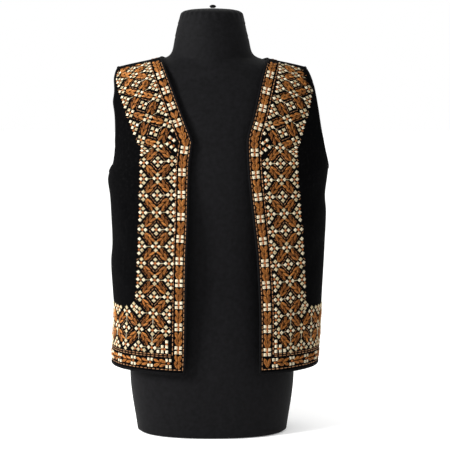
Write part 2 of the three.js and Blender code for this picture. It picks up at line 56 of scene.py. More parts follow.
# height, half widths right and left, depths front and back, middle in Y, exponent
VEST_ROWS = [
    [104, 150.5, 159, 98, 92, 0, 2.6], [122, 150, 160.5, 98, 91.5, 0, 2.6],
    [154, 148, 162, 98, 91, 0, 2.6], [184, 146.5, 163.5, 98, 90.2, 0, 2.6],
    [208, 148, 164.5, 98, 90, 0, 2.6], [256, 150.5, 167, 97.5, 90, 0, 2.6],
    [284, 148.5, 168.3, 97.2, 90, 0, 2.6], [330, 150, 170, 96.7, 90.6, 0, 2.6],
    [354, 151.5, 168.3, 96.4, 91.2, 0, 2.6], [379, 154.5, 171, 96.1, 91.8, 0, 2.6],
    [395, 151, 173, 95.8, 92, 0, 2.58], [404, 148, 173.5, 95.2, 92, 0, 2.55],
    [425, 149.5, 174, 93.5, 92, 0, 2.47], [440, 152, 174.5, 91.5, 92, 0, 2.4],
    [460, 154, 173.4, 88, 89.5, 0.6, 2.32], [478, 156, 172, 83.6, 86.4, 1.4, 2.25],
    [494, 158, 169.3, 78.7, 82.5, 2.4, 2.18], [508, 156, 166.5, 73.7, 78.6, 3.3, 2.05],
    [524, 155, 160, 67.4, 72.9, 4.3, 1.91], [535, 150.5, 152.5, 63, 69, 4.9, 1.8],
    [543.5, 141, 141, 60, 65, 5, 1.7], [546.5, 130, 130, 58.8, 63.5, 5, 1.68],
    [549.5, 117, 117, 57.5, 62, 5, 1.66], [552, 105, 105, 56.7, 61, 5, 1.64],
    [554.6, 93, 93, 56, 60, 5, 1.62], [556.8, 84, 84, 55.6, 59.2, 5, 1.61],
    [558.4, 78, 78, 55.3, 58.6, 5, 1.6], [560, 72, 72, 55, 58, 5, 1.6],
]
# height, finished front edge's distance from the middle, right and left
EDGE_ROWS = [
    [104, 38.7, 68.6], [143, 37.2, 68.6], [174, 36.8, 68.6], [265, 35.6, 64.9],
    [326, 33.1, 58.7], [399, 31.1, 51.2], [430, 27.5, 49.8], [437, 26.5, 49.7],
    [446, 29.4, 50.9], [472, 39.4, 58.4], [540, 65.3, 75], [559, 73, 81.4],
]
ARMHOLES = {
    RIGHT: {"bottom": 392, FRONT: 42, BACK: 38},
    LEFT: {"bottom": 397, FRONT: 42, BACK: 38},
}
ARMHOLE_EGG = 0.25
# face, x1, z1, x2, z2, width, rise
FOLDS = [
    (FRONT, -128, 330, -112, 210, 16, 2.0), (FRONT, -60, 190, -66, 112, 20, 1.6),
    (FRONT, 140, 345, 132, 235, 15, 2.2), (FRONT, 92, 200, 98, 112, 19, 1.8),
    (BACK, -70, 260, -92, 112, 24, 3.0), (BACK, 8, 210, 2, 108, 26, 2.4),
    (BACK, 82, 280, 104, 112, 24, 3.2), (BACK, -118, 392, -84, 322, 15, 2.2),
    (BACK, 132, 398, 96, 330, 15, 2.4),
]
# the smaller creases of the worn cloth
CREASES = [
    (FRONT, -139, 372, -118, 338, 7, -1.3), (FRONT, -142, 300, -122, 262, 9, -1.1),
    (FRONT, -136, 246, -121, 222, 7, 1.0), (FRONT, -52, 330, -60, 300, 10, -0.8),
    (FRONT, -78, 262, -50, 236, 11, 0.9), (FRONT, 158, 372, 136, 330, 8, -1.4),
    (FRONT, 160, 286, 138, 246, 9, -1.2), (FRONT, 126, 420, 138, 392, 8, 0.9),
    (FRONT, 84, 330, 104, 306, 12, -0.8), (FRONT, 108, 250, 84, 222, 11, 0.8),
    (BACK, -128, 372, -98, 346, 8, -1.3), (BACK, 140, 374, 108, 352, 8, -1.4),
    (BACK, -30, 300, -46, 200, 13, -1.3), (BACK, 44, 320, 58, 212, 13, -1.4),
    (BACK, -90, 470, -60, 428, 14, 1.2), (BACK, 96, 474, 62, 436, 14, 1.2),
    (BACK, -20, 512, 28, 508, 11, -0.9), (BACK, -10, 420, 22, 392, 15, 1.0),
    (BACK, -124, 250, -100, 206, 9, 1.1), (BACK, 130, 244, 112, 196, 9, 1.2),
]
# height, half width, depths front and back, middle in Y, exponent
FORM_ROWS = [
    [0, 112, 78, 80, 0, 2.3], [90, 123, 86, 86, 0, 2.3], [160, 117, 81, 83, 0, 2.3],
    [240, 108, 75, 78, 0, 2.3], [320, 114, 81, 83, 0, 2.3], [390, 122, 89, 86, 0, 2.3],
    [430, 127, 86, 87, 0, 2.3], [470, 134, 79, 83, 1, 2.25], [500, 139, 71, 75, 2.6, 2.1],
    [520, 141, 62, 68, 4, 1.95], [530, 140.5, 58, 64, 4.6, 1.85], [540.3, 136, 56.5, 61, 5, 1.73],
    [543.3, 127.5, 55.2, 59.7, 5, 1.7], [546.3, 115, 54, 58.5, 5, 1.68],
    [548.8, 103.5, 53.2, 57, 5, 1.66], [551.4, 91.5, 52.5, 55.5, 5, 1.64],
    [553.6, 82.5, 51.9, 54.4, 5, 1.64], [555.5, 75.5, 51.4, 53.8, 5, 1.66],
    [558, 68, 50.8, 53, 5, 1.71], [562, 62, 50, 52.4, 4.8, 1.86], [568, 58.5, 49.4, 51, 4.4, 1.96],
    [584, 55, 48.5, 49, 3.4, 2], [600, 51.5, 47, 47.5, 2.8, 2], [617, 47.5, 45, 45, 2.5, 2],
    [622, 46, 43.5, 43.5, 2.5, 2], [626, 41, 38.5, 38.5, 2.5, 2], [628.5, 30, 28, 28, 2.5, 2],
    [629.6, 16, 15, 15, 2.5, 2], [630, 4, 4, 4, 2.5, 2],
]

# ---- Curves through tables ----
GRID = np.arange(0, 640.01, 0.25)


def smooth_column(rows, column, grid=GRID):
    """A smooth, never overshooting curve through a table's column, read off a fine grid."""
    at = np.array([row[0] for row in rows], float)
    values = np.array([row[column] for row in rows], float)
    slopes = np.diff(values) / np.diff(at)
    before, after = np.r_[slopes[0], slopes], np.r_[slopes, slopes[-1]]
    both = before * after
    tangents = np.where(both > 0, 2 * both / np.where(both > 0, before + after, 1), 0)
    z = np.clip(grid, at[0], at[-1])
    i = np.clip(np.searchsorted(at, z, side="left") - 1, 0, len(at) - 2)
    span = at[i + 1] - at[i]
    t = (z - at[i]) / span
    rise = values[i + 1] - values[i]
    start, end = span * tangents[i] - rise, span * tangents[i + 1] - rise
    table = values[i] + t * rise + t * (1 - t) * ((1 - t) * start - t * end)
    return lambda height: np.interp(height, grid, table)


half_right, half_left, depth_front, depth_back, middle_y, roundness = (
    smooth_column(VEST_ROWS, i) for i in range(1, 7)
)
edge_right, edge_left = smooth_column(EDGE_ROWS, 1), smooth_column(EDGE_ROWS, 2)


def mix(a, b, share):
    return a + (b - a) * share


def unit(v):
    return v / np.maximum(np.linalg.norm(v, axis=-1, keepdims=True), 1e-9)


def way_along(points):
    """The way along a line of points, from its first point to each."""
    return np.r_[0, np.cumsum(np.linalg.norm(np.diff(points, axis=0), axis=1))]


def crossing(rising, low, high):
    """Where a rising function is zero, found by halving the span."""
    for _ in range(34):
        middle = (low + high) / 2
        if rising(middle) < 0:
            low = middle
        else:
            high = middle
    return (low + high) / 2


# ---- The surface that the cloth lies on ----
def half_width(side, z):
    return half_right(z) if side == RIGHT else half_left(z)


def width_at(x, z):
    """Half width on the side where x lies."""
    return np.where(x < 0, half_right(z), half_left(z))


def depth(face, z):
    return depth_front(z) if face == FRONT else depth_back(z)


def gauge(q):
    """1 on the surface, more outside it."""
    x, y, z = q[..., 0], q[..., 1], q[..., 2]
    power, mid = roundness(z), middle_y(z)
    across = np.abs(x) / width_at(x, z)
    through = np.abs(y - mid) / np.where(y < mid, depth_front(z), depth_back(z))
    return (across**power + through**power) ** (1 / power)


def flow(q, step=0.1):
    """The gauge's slope, which points outward."""
    out = np.zeros_like(q)
    for axis in range(3):
        d = np.zeros(3)
        d[axis] = step
        out[..., axis] = (gauge(q + d) - gauge(q - d)) / (2 * step)
    return out


def reach(face, x, z):
    """How far in front of or behind its middle the surface lies."""
    share = np.minimum(np.abs(x) / width_at(x, z), 1)
    power = roundness(z)
    return depth(face, z) * (1 - share**power) ** (1 / power)


def hem_drop(x, z):
    """How much a front hangs down at each place: most at the front corner of its hem."""
    width = width_at(x, z)
    edge = np.where(x < 0, edge_right(z), edge_left(z))
    share = np.clip((width - np.abs(x)) / (width - edge), 0, 1)
    fade = np.clip(1 - (z - HEM_HEIGHT) / DROP_HEIGHT, 0, 1)
    return HEM_DROP * share**0.7 * fade**1.5


def dress(q):
    """Cloth points and outward directions over points of the smooth surface."""
    n = unit(flow(q))
    x, y, z = q[..., 0], q[..., 1], q[..., 2]
    off = y - middle_y(z)
    face = np.where(off < 0, FRONT, BACK)
    rise = np.zeros_like(x)
    for fold_face, x1, z1, x2, z2, width, height in FOLDS + CREASES:
        ax, az = x2 - x1, z2 - z1
        length = math.hypot(ax, az)
        along = ((x - x1) * ax + (z - z1) * az) / length
        across = ((x - x1) * az - (z - z1) * ax) / length
        past = np.maximum(0, np.maximum(-along, along - length))
        bump = height * np.exp(-(across**2 + past**2) / width**2)
        rise += np.where(face == fold_face, bump, 0)
    rise *= np.minimum(np.abs(off) / FOLDS_FADE, 1) ** 2
    rise -= SEAM_DIP * np.exp(-((off / SEAM_DIP_WIDTH) ** 2))
    p = q + n * rise[..., None]
    p[..., 1] += face * SEAM_GAP / 2
    p[..., 2] -= np.where(face == FRONT, hem_drop(x, z), 0)
    return p, n


def cloth(face, x, z):
    """Cloth points and outward directions on the front or the back face."""
    x = np.asarray(x, float)
    z = np.broadcast_to(np.asarray(z, float), x.shape)
    off = np.maximum(reach(face, x, z), 1e-4)
    return dress(np.stack([x, middle_y(z) + face * off, z], -1))


def settle(q):
    """Brings points near the surface onto it."""
    q = q.copy()
    for _ in range(3):
        g = flow(q)
        q -= ((gauge(q) - 1) / np.maximum((g * g).sum(-1), 1e-9))[..., None] * g
    return q


def ridge(side, distance):
    """Height of the shoulder line at a distance from the middle."""
    z = np.linspace(SHOULDER_TIP, SURFACE_TOP, 300)
    return np.interp(distance, half_width(side, z)[::-1], z[::-1])


# ---- Garment edges ----
NECK_SPAN = (60, 120)  # the neckline meets the shoulder line between these distances


def inset_edge(side, z, inset):
    """Distance from the middle of a line inset from the front edge."""
    edge = edge_right if side == RIGHT else edge_left
    slope = (edge(z + 1) - edge(z - 1)) / 2
    return edge(z) + inset * np.hypot(1, slope)


def neck_point(side, inset):
    """Distance from the middle where the inset neckline meets the shoulder line."""
    return crossing(lambda d: d - inset_edge(side, ridge(side, d), inset), *NECK_SPAN)


def back_top(x, inset):
    """Top of the back: the shoulder lines and the neckline between them."""
    x = np.asarray(x, float)
    right, left = neck_point(RIGHT, inset), neck_point(LEFT, inset)
    side = np.where(x < BACK_NECK_MIDDLE, RIGHT, LEFT)
    neck = np.where(side == RIGHT, right, left)
    line = np.where(side == RIGHT, ridge(RIGHT, np.abs(x)), ridge(LEFT, np.abs(x)))
    end = np.where(side == RIGHT, ridge(RIGHT, right), ridge(LEFT, left))
    share = np.abs((x - BACK_NECK_MIDDLE) / (side * neck - BACK_NECK_MIDDLE))
    curve = mix(BACK_NECK_HEIGHT - 0.9 * inset, end, np.minimum(share, 1) ** BACK_NECK_ROUNDNESS)
    return np.where(np.abs(x) >= neck, line, curve)


def side_line(side):
    """Heights up the side of the surface, and the way along it to each."""
    z = np.arange(UPPER_START, SURFACE_TOP + 0.1, 0.5)
    return z, way_along(np.stack([z, half_width(side, z)], -1))


SIDE_LINES = {side: side_line(side) for side in SIDES}


def armhole_place(side, face, turn, outset):
    """A point of a line round an armhole; the turn runs from 0 low to PI."""
    z, length = SIDE_LINES[side]
    bottom = np.interp(ARMHOLES[side]["bottom"], z, length)
    top = np.interp(SHOULDER_TIP, z, length)
    upward = -math.cos(turn)
    at = (bottom + top) / 2 + upward * ((top - bottom) / 2 + outset)
    height = float(np.interp(at, length, z))
    chord = (ARMHOLES[side][face] + outset) * math.sin(turn) * (1 - ARMHOLE_EGG * upward)
    half = float(half_width(side, height))
    inward = np.linspace(0, half * 0.6, 500)
    far = np.hypot(inward, reach(face, side * (half - inward), height))
    return half - float(np.interp(chord, far, inward)), height


# ---- Panels ----
def space_row(face, x, z_of, stops):
    """Places at even distances along each stretch of a row."""
    z = z_of(x)
    p, _ = cloth(face, x, z)
    length = way_along(p)
    at = [0.0]
    start = 0.0
    for end, steps in stops(x, length):
        at += [mix(start, end, (i + 1) / steps) for i in range(steps)]
        start = end
    row = np.interp(at, length, x)
    return np.stack([row, z_of(row)], -1)


def front_rows(side, inset, lower, upper, columns, armhole_inset=None):
    """Rows of places (x, z) on a front, from its outer side to its edge and from hem to shoulder."""
    rows = []
    shares = np.linspace(0, 1, 241) ** 2

    def add(outer, height_of):
        d = np.linspace(20, outer, 900)
        past = d - inset_edge(side, height_of(d), inset)
        inner = float(np.interp(0, past, d))
        x = side * mix(outer, inner, shares)
        rows.append(space_row(FRONT, x, lambda v: height_of(np.abs(v)),
                              lambda _, s: [(s[-1], columns)]))

    for z in np.linspace(HEM_HEIGHT + inset, UPPER_START, lower + 1):
        add(float(half_width(side, z)), lambda d, z=z: np.full_like(d, z))
    neck = neck_point(side, inset)

    def top(d):
        return ridge(side, np.maximum(d, neck))

    for step in range(upper + 1):
        x, z = armhole_place(side, FRONT, math.pi * step / upper, armhole_inset or inset)
        share = (z - UPPER_START) / (float(top(x)) - UPPER_START)
        add(x, lambda d, share=share: mix(UPPER_START, top(d), share))
    return np.array(rows)


def back_rows(inset, lower, upper, shoulder, neck_columns):
    """Rows of places (x, z) on the back, from the wearer's right to left and from hem to top."""
    rows = []
    columns = 2 * shoulder + neck_columns
    shares = np.linspace(0, 1, 481)
    pull = np.where(shares < 0.5, shares, 1 - shares) * 2
    right_neck, left_neck = neck_point(RIGHT, inset), neck_point(LEFT, inset)

    def add(right, left, height_of, toward_top):
        x = np.where(shares < 0.5, right, left) * (1 - pull**2)

        def stops(x, s):
            even = s[-1] * shoulder / columns
            share = toward_top**2
            a = mix(even, np.interp(-right_neck, x, s), share)
            b = mix(s[-1] - even, np.interp(left_neck, x, s), share)
            return [(a, shoulder), (b, neck_columns), (s[-1], shoulder)]

        rows.append(space_row(BACK, x, height_of, stops))

    for z in np.linspace(HEM_HEIGHT + inset, UPPER_START, lower + 1):
        right, left = -float(half_right(z)), float(half_left(z))
        add(right, left, lambda v, z=z: np.full_like(v, z), 0)
    for step in range(upper + 1):
        turn = math.pi * step / upper
        rx, rz = armhole_place(RIGHT, BACK, turn, inset)
        lx, lz = armhole_place(LEFT, BACK, turn, inset)
        right_share = (rz - UPPER_START) / (float(back_top(-rx, inset)) - UPPER_START)
        left_share = (lz - UPPER_START) / (float(back_top(lx, inset)) - UPPER_START)

        def height_of(v, a=right_share, b=left_share, rx=rx, lx=lx):
            return mix(UPPER_START, back_top(v, inset), mix(a, b, (v + rx) / (lx + rx)))

        add(-rx, lx, height_of, (right_share + left_share) / 2)
    return np.array(rows)


def make_object(name, points, quads, material, slot):
    """A mesh object in metres from points in millimetres and faces of four corners."""
    a, b, c, d = (points[quads[:, i]] for i in range(4))
    volume = (a * np.cross(b, c)).sum() + (a * np.cross(c, d)).sum()
    if volume < 0:
        quads = quads[:, ::-1]
    mesh = bpy.data.meshes.new(name)
    mesh.vertices.add(len(points))
    mesh.vertices.foreach_set("co", (points * MM).astype(np.float32).ravel())
    mesh.loops.add(quads.size)
    mesh.loops.foreach_set("vertex_index", quads.astype(np.int32).ravel())
    mesh.polygons.add(len(quads))
    mesh.polygons.foreach_set("loop_start", np.arange(0, quads.size, 4, dtype=np.int32))
    mesh.polygons.foreach_set("use_smooth", np.full(len(quads), True))
    mesh.update(calc_edges=True)
    mesh.validate()
    mesh.materials.append(material)
    obj = bpy.data.objects.new(name, mesh)
    bpy.context.scene.collection.objects.link(obj)
    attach(obj, "root")
    return obj


def tube_quads(index):
    """Faces of tubes: the last axis of index runs round them, the one before it along them."""
    low, high = index[..., :-1, :], index[..., 1:, :]
    return np.stack([low, np.roll(low, -1, -1), np.roll(high, -1, -1), high], -1)


def cap_quads(ring):
    """Faces across a ring that has an even number of points."""
    half = len(ring) // 2
    ahead, behind = ring[:half], ring[::-1][:half]
    return np.stack([ahead[:-1], ahead[1:], behind[1:], behind[:-1]], -1)


def closed_rings(rings):
    """Points and faces of a stack of rings that is closed at both ends."""
    rings = np.array(rings)
    index = np.arange(rings[..., 0].size).reshape(rings.shape[:2])
    caps = [cap_quads(index[0])[:, ::-1], cap_quads(index[-1])]
    return rings.reshape(-1, 3), np.vstack([tube_quads(index).reshape(-1, 4), *caps])


def wall(name, face, rows):
    """A thin closed shell of wool: outer face, inner face and the rim between them."""
    p, n = cloth(face, rows[..., 0].ravel(), rows[..., 1].ravel())
    shift = len(p)
    index = np.arange(shift).reshape(rows.shape[:2])
    outer = tube_quads(index)[:, :-1].reshape(-1, 4)
    inner = outer[:, ::-1] + shift
    rim = np.concatenate([index[0, :-1], index[:-1, -1], index[-1, :0:-1], index[:0:-1, 0]])
    after = np.roll(rim, -1)
    side = np.stack([after, rim, rim + shift, after + shift], -1)
    return make_object(name, np.vstack([p, p - n * WALL]), np.vstack([outer, inner, side]), WOOL, "wool")


# ---- Materials ----
def material(name, colour, rough, **settings):
    """A principled material and its shader."""
    mat = bpy.data.materials.new(name)
    mat.use_nodes = True
    shader = mat.node_tree.nodes["Principled BSDF"]
    shader.inputs["Base Color"].default_value = (*colour, 1)
    shader.inputs["Roughness"].default_value = rough
    for key, value in settings.items():
        shader.inputs[key.replace("_", " ").title().replace("Ior", "IOR")].default_value = value
    return mat, shader


def add_node(tree, kind, values=(), **joined):
    """A new node with values in some of its sockets and other nodes' outputs joined to others."""
    node = tree.nodes.new(f"ShaderNode{kind}")
    for socket, value in dict(values).items():
        node.inputs[socket].default_value = value
    for socket, output in joined.items():
        tree.links.new(output, node.inputs[socket])
    return node


def noise(tree, vector, scale, detail, rough=0.6):
    values = {"Scale": scale, "Detail": detail, "Roughness": rough}
    return add_node(tree, "TexNoise", values, Vector=vector).outputs["Fac"]


def nap(tree, vector, scale, detail, rough):
    """Noise that is drawn out down the cloth."""
    values = {"Scale": (1, 1, 0.35), "Rotation": (0, 0.35, 0)}
    drawn_out = add_node(tree, "Mapping", values, Vector=vector).outputs["Vector"]
    return noise(tree, drawn_out, scale, detail, rough)


def bands(tree, vector, direction, scale, distortion):
    node = add_node(tree, "TexWave", {"Scale": scale, "Distortion": distortion}, Vector=vector)
    node.bands_direction = direction
    return node.outputs["Fac"]


def fabric(name, colour, rough, shine, cloud, tints, layers, **settings):
    """A cloth or thread. Its tint varies in clouds, and its relief is in layers, the coarse one first.

    The shine is the specular level, the sheen's weight and its roughness. A layer is a texture with
    its settings, strength and depth in metres.
    """
    specular, sheen, sheen_rough = shine
    mat, shader = material(name, colour, rough, specular_ior_level=specular, sheen_weight=sheen,
                           sheen_roughness=sheen_rough, **settings)
    tree = mat.node_tree
    vector = add_node(tree, "TexCoord").outputs["Object"]
    ramp = add_node(tree, "ValToRGB", Fac=noise(tree, vector, *cloud))
    elements = ramp.color_ramp.elements
    while len(elements) < len(tints):
        elements.new(0.5)
    for element, (place, tint) in zip(elements, tints):
        element.position = place
        element.color = (*tint, 1)
    tree.links.new(ramp.outputs["Color"], shader.inputs["Base Color"])
    below = {}
    for texture, values, strength, deep in layers:
        height = texture(tree, vector, *values)
        bump = add_node(tree, "Bump", {"Strength": strength, "Distance": deep}, Height=height, **below)
        below = {"Normal": bump.outputs["Normal"]}
    tree.links.new(bump.outputs["Normal"], shader.inputs["Normal"])
    return mat


WOOL = fabric(
    "felted_wool", (0.0055, 0.0054, 0.0058), 0.95, (0.015, 0.005, 0.6), (260, 6, 0.7),
    [(0.3, (0.0004, 0.0004, 0.0005)), (0.55, (0.0009, 0.0009, 0.0010)),
     (0.78, (0.0040, 0.0039, 0.0041))],
    [(noise, (120, 3), 0.5, 0.0008), (nap, (1500, 5, 0.75), 0.9, 0.0004)],
    sheen_tint=(0.5, 0.5, 0.55, 1))
BRAID = fabric(
    "rolled_binding", (0.003, 0.003, 0.0035), 0.75, (0.035, 0.004, 0.4), (700, 4),
    [(0.3, (0.0008, 0.0008, 0.0009)), (0.7, (0.0030, 0.0029, 0.0032))],
    [(bands, ("DIAGONAL", 150, 1.2), 0.5, 0.0005), (noise, (1800, 3), 0.4, 0.0003)])
JERSEY = fabric(
    "black_jersey", (0.003, 0.003, 0.0035), 0.75, (0.07, 0.015, 0.45), (180, 3),
    [(0.3, (0.0010, 0.0010, 0.0012)), (0.7, (0.0032, 0.0031, 0.0037))],
    [(bands, ("X", 260, 0.6), 0.3, 0.0003), (noise, (900, 2), 0.3, 0.0003)])
THREAD_TABLE = {  # material's name, slot, dark, main and light tones, and roughness
    "cream": ("cream_thread", "cream_thread",
              (0.31, 0.24, 0.135), (0.53, 0.465, 0.33), (0.67, 0.61, 0.485), 0.55),
    # a darker copy of the cream thread: painted shade for the duller sheen of squares stitched lengthwise
    "khaki": ("cream_thread_painted_shade", "cream_thread",
              (0.25, 0.18, 0.08), (0.44, 0.365, 0.225), (0.57, 0.50, 0.335), 0.55),
    "orange": ("orange_brown_thread", "brown_thread",
               (0.16, 0.055, 0.009), (0.31, 0.110, 0.019), (0.50, 0.225, 0.058), 0.48),
    # deep brown thread of the thin lines; on leaves it is painted shade, for their sides and for steep
    # leaves
    "brown": ("deep_brown_thread_and_painted_shade", "brown_thread",
              (0.055, 0.018, 0.004), (0.155, 0.052, 0.010), (0.29, 0.108, 0.025), 0.5),
    "tan": ("tan_thread", "brown_thread",
            (0.085, 0.036, 0.012), (0.235, 0.105, 0.042), (0.40, 0.225, 0.11), 0.5),
    "russet": ("russet_thread", "russet_thread",
               (0.12, 0.032, 0.007), (0.25, 0.073, 0.014), (0.38, 0.125, 0.030), 0.55),
}
THREADS = {}
for colour, (name, slot, dark, main, light, rough) in THREAD_TABLE.items():
    thread = fabric(name, main, rough, (0.12, 0.015, 0.4), (620, 3),
                    [(0.36, dark), (0.5, main), (0.64, light)], [(noise, (2600, 3), 0.5, 0.00025)])
    THREADS[colour] = (thread, slot)

# ---- Cloth and bindings ----
LOWER, UPPER, COLUMNS = 78, 64, 48
SHOULDER_COLUMNS, NECK_COLUMNS = 24, 72
front_grids = {side: front_rows(side, UNDER_BINDING, LOWER, UPPER, COLUMNS) for side in SIDES}
back_grid = back_rows(UNDER_BINDING, LOWER, UPPER, SHOULDER_COLUMNS, NECK_COLUMNS)

panels = {}
for side, word in SIDES.items():
    panels[f"front_{word}"] = wall(f"vest_front_{word}", FRONT, front_grids[side])
panels["back"] = wall("vest_back", BACK, back_grid)
for name, panel in panels.items():
    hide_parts(name)

ROLL_SIDES, ARMHOLE_STEPS, CORNER_STOPS = 12, 70, 7
SWELL, SWELL_LENGTH = 0.035, 4.1  # the rolls swell a little along their twist
CORNER_GAP, EDGE_GAP = 1.5, 1.2  # from the hem's and the edge's points to the rounded corner


def roll(name, points, normals, closed=False):
    """An oval roll along a path. Open ends are cut square to the Y axis."""
    after, before = np.roll(points, -1, 0), np.roll(points, 1, 0)
    if not closed:
        after[-1], before[0] = points[-1], points[0]
    along = unit(after - before)
    if not closed:
        for i in (0, -1):
            along[i] = (0, math.copysign(1, along[i][1]), 0)
    across = unit(np.cross(normals, along))
    outward = unit(np.cross(along, across))
    turn = 2 * math.pi * np.arange(ROLL_SIDES) / ROLL_SIDES
    swell = 1 + SWELL * np.sin(way_along(points)[:, None] * 2 * math.pi / SWELL_LENGTH + turn)
    wide = BINDING_WIDTH / 2 * np.cos(turn) * swell
    thick = BINDING_THICKNESS / 2 * np.sin(turn) * swell
    rings = points[:, None] + across[:, None] * wide[..., None] + outward[:, None] * thick[..., None]
    if closed:
        index = np.arange(wide.size).reshape(wide.shape)
        quads = tube_quads(np.vstack([index, index[:1]])).reshape(-1, 4)
        obj = make_object(f"edging_{name}", rings.reshape(-1, 3), quads, BRAID, "binding")
    else:
        obj = make_object(f"edging_{name}", *closed_rings(rings), BRAID, "binding")
    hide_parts(f"binding_{name}")
    return obj


def binding_path(face, x, z):
    """Points and normals of a binding's middle line."""
    p, n = cloth(face, x, z)
    return p - n * BINDING_DEPTH, n


def front_path(side):
    """Along the hem, round its corner and up the front edge and neckline to the shoulder seam."""
    inset = BINDING_WIDTH / 2
    hem = HEM_HEIGHT + inset
    corner_z = hem + CORNER_RADIUS
    corner_x = float(inset_edge(side, corner_z, inset)) + CORNER_RADIUS
    low = front_grids[side][0, :, 0]
    stretch = float(half_width(side, hem)) / abs(low[0])
    places = [(x * stretch, hem) for x in low if abs(x) > corner_x + CORNER_GAP]
    for turn in np.linspace(0, math.pi / 2, CORNER_STOPS):
        x = side * (corner_x - CORNER_RADIUS * math.sin(turn))
        places.append((x, corner_z - CORNER_RADIUS * math.cos(turn)))
    places += [(x, z) for x, z in front_grids[side][:, -1] if z > corner_z + EDGE_GAP]
    return binding_path(FRONT, *np.array(places).T)


def armhole_path(side):
    """Up the front of an armhole from its bottom and down its back."""
    points, normals = [], []
    for step in range(2 * ARMHOLE_STEPS):
        face = FRONT if step <= ARMHOLE_STEPS else BACK
        turn = math.pi * min(step, 2 * ARMHOLE_STEPS - step) / ARMHOLE_STEPS
        x, z = armhole_place(side, face, turn, BINDING_WIDTH / 2)
        p, n = binding_path(face, np.array([side * x]), np.array([z]))
        if step % ARMHOLE_STEPS == 0:
            p[0, 1] = middle_y(z)
        points.append(p[0])
        normals.append(n[0])
    return np.array(points), np.array(normals)


def back_hem_path():
    x, z = back_grid[0].T
    hem = HEM_HEIGHT + BINDING_WIDTH / 2
    return binding_path(BACK, x * (width_at(x, hem) / width_at(x, z)), np.full(len(x), hem))


def back_neck_path():
    top = back_grid[-1, SHOULDER_COLUMNS : SHOULDER_COLUMNS + NECK_COLUMNS + 1]
    return binding_path(BACK, *top.T)


for side, word in SIDES.items():
    roll(f"front_{word}", *front_path(side))
for side, word in SIDES.items():
    roll(f"armhole_{word}", *armhole_path(side), closed=True)
roll("back_hem", *back_hem_path())
roll("back_neck", *back_neck_path())

# ---- Dress form ----
FORM_SIDES = 144
FOOT = [(0, 6), (0.7, 3.2), (1.8, 1.8)]  # height, and how far the foot's rounding draws in
# height, width and lift of the soft rings round the neck's cover
NECK_RINGS = [(590, 1.1, 0.45), (608.5, 1.1, 0.45), (587.6, 1.4, -0.35), (606, 1.4, -0.35)]
GATHERS, GATHER_DEPTH, GATHER_START, GATHER_END = 26, 0.55, 611, 630.2
WRINKLE_MIDDLE, WRINKLE_SPREAD, WRINKLE_DEPTH = 598, 14, 0.5
KNOT_SIDES, KNOT_RINGS = 48, 14
KNOT_X, KNOT_Y, KNOT_FOOT, KNOT_RADIUS, KNOT_HEIGHT = 1.5, 2.5, 630.3, 4.5, 5
KNOT_PLEATS, KNOT_PLEAT_DEPTH = 11, 0.09


def swell_at(h, middle, spread):
    """1 at the middle height, fading above and below it."""
    return math.exp(-(((h - middle) / spread) ** 2))


def form_rings():
    """The dress form from its foot to the gathered top of its neck."""
    half, front, back, mid, power = (smooth_column(FORM_ROWS, i) for i in range(1, 6))
    z = np.unique(np.r_[np.arange(3, 540, 4), np.arange(540, 562, 1.0), np.arange(562, 617, 1.5),
                        np.arange(617, 629.6, 0.6), 629.8, 630])
    turn = np.linspace(0, 2 * math.pi, FORM_SIDES, endpoint=False)
    aside, behind = np.cos(turn), np.sin(turn)
    rings = []
    for h, inset in FOOT + [(h, 0) for h in z]:
        deep = np.where(behind < 0, front(h), back(h))
        gathered = min(max((h - GATHER_START) / 10, 0), 1) * min(max((GATHER_END - h) / 3, 0), 1)
        grow = GATHER_DEPTH * gathered * np.sin(GATHERS * turn + 1.5 * np.sin(3 * turn))
        grow += sum(lift * swell_at(h, at, width) for at, width, lift in NECK_RINGS)
        grow += WRINKLE_DEPTH * swell_at(h, WRINKLE_MIDDLE, WRINKLE_SPREAD) * np.sin(5 * turn + h * 0.05)
        grow -= gathered * 0.5 + inset
        e = 2 / power(h)
        x = np.sign(aside) * (half(h) + grow) * np.abs(aside) ** e
        y = mid(h) + np.sign(behind) * (deep + grow) * np.abs(behind) ** e
        rings.append(np.stack([x, y, np.full(FORM_SIDES, h)], -1))
    return rings


def knot_rings():
    """The gathered knot of the form's cover."""
    turn = np.linspace(0, 2 * math.pi, KNOT_SIDES, endpoint=False)
    rings = []
    for lean in math.pi * np.linspace(0.12, 0.95, KNOT_RINGS + 1):
        pleats = 1 + KNOT_PLEAT_DEPTH * np.sin(KNOT_PLEATS * turn + 2 * lean)
        radius = KNOT_RADIUS * math.sin(lean) * pleats
        height = np.full(KNOT_SIDES, KNOT_FOOT + KNOT_HEIGHT * (1 - math.cos(lean)) / 2)
        x, y = KNOT_X + radius * np.cos(turn), KNOT_Y + radius * np.sin(turn)
        rings.append(np.stack([x, y, height], -1))
    return rings


form = make_object("dress_form", *closed_rings(form_rings()), JERSEY, "jersey")
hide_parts("form_body")
knot = make_object("gathered_knot", *closed_rings(knot_rings()), JERSEY, "jersey")
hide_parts("cover_knot")

# ---- Embroidery: strands ----
def polygon_test(outline):
    """Whether places (x, z) lie inside an outline."""
    x0, z0 = outline[:, 0], outline[:, 1]
    x1, z1 = np.roll(x0, -1), np.roll(z0, -1)

    def inside(x, z):
        x, z = np.ravel(x)[:, None], np.ravel(z)[:, None]
        hit = (z0 > z) != (z1 > z)
        with np.errstate(divide="ignore", invalid="ignore"):
            cut = (x1 - x0) * (z - z0) / (z1 - z0) + x0
        return (hit & (x < cut)).sum(-1) % 2 == 1

    return inside


def outline_of(side, inset, armhole_inset, below_shoulder, past_seam):
    """A front's outline, inset from its edges and from the shoulder seam."""
    rows = front_rows(side, inset, 24, 30, 24, armhole_inset)
    top = rows[-1][::-1] - (0, below_shoulder)
    outer = rows[::-1, 0].copy()
    outer[outer[:, 1] < UPPER_START, 0] += side * past_seam
    return np.vstack([rows[0] - (0, past_seam), rows[1:, -1], top, outer])


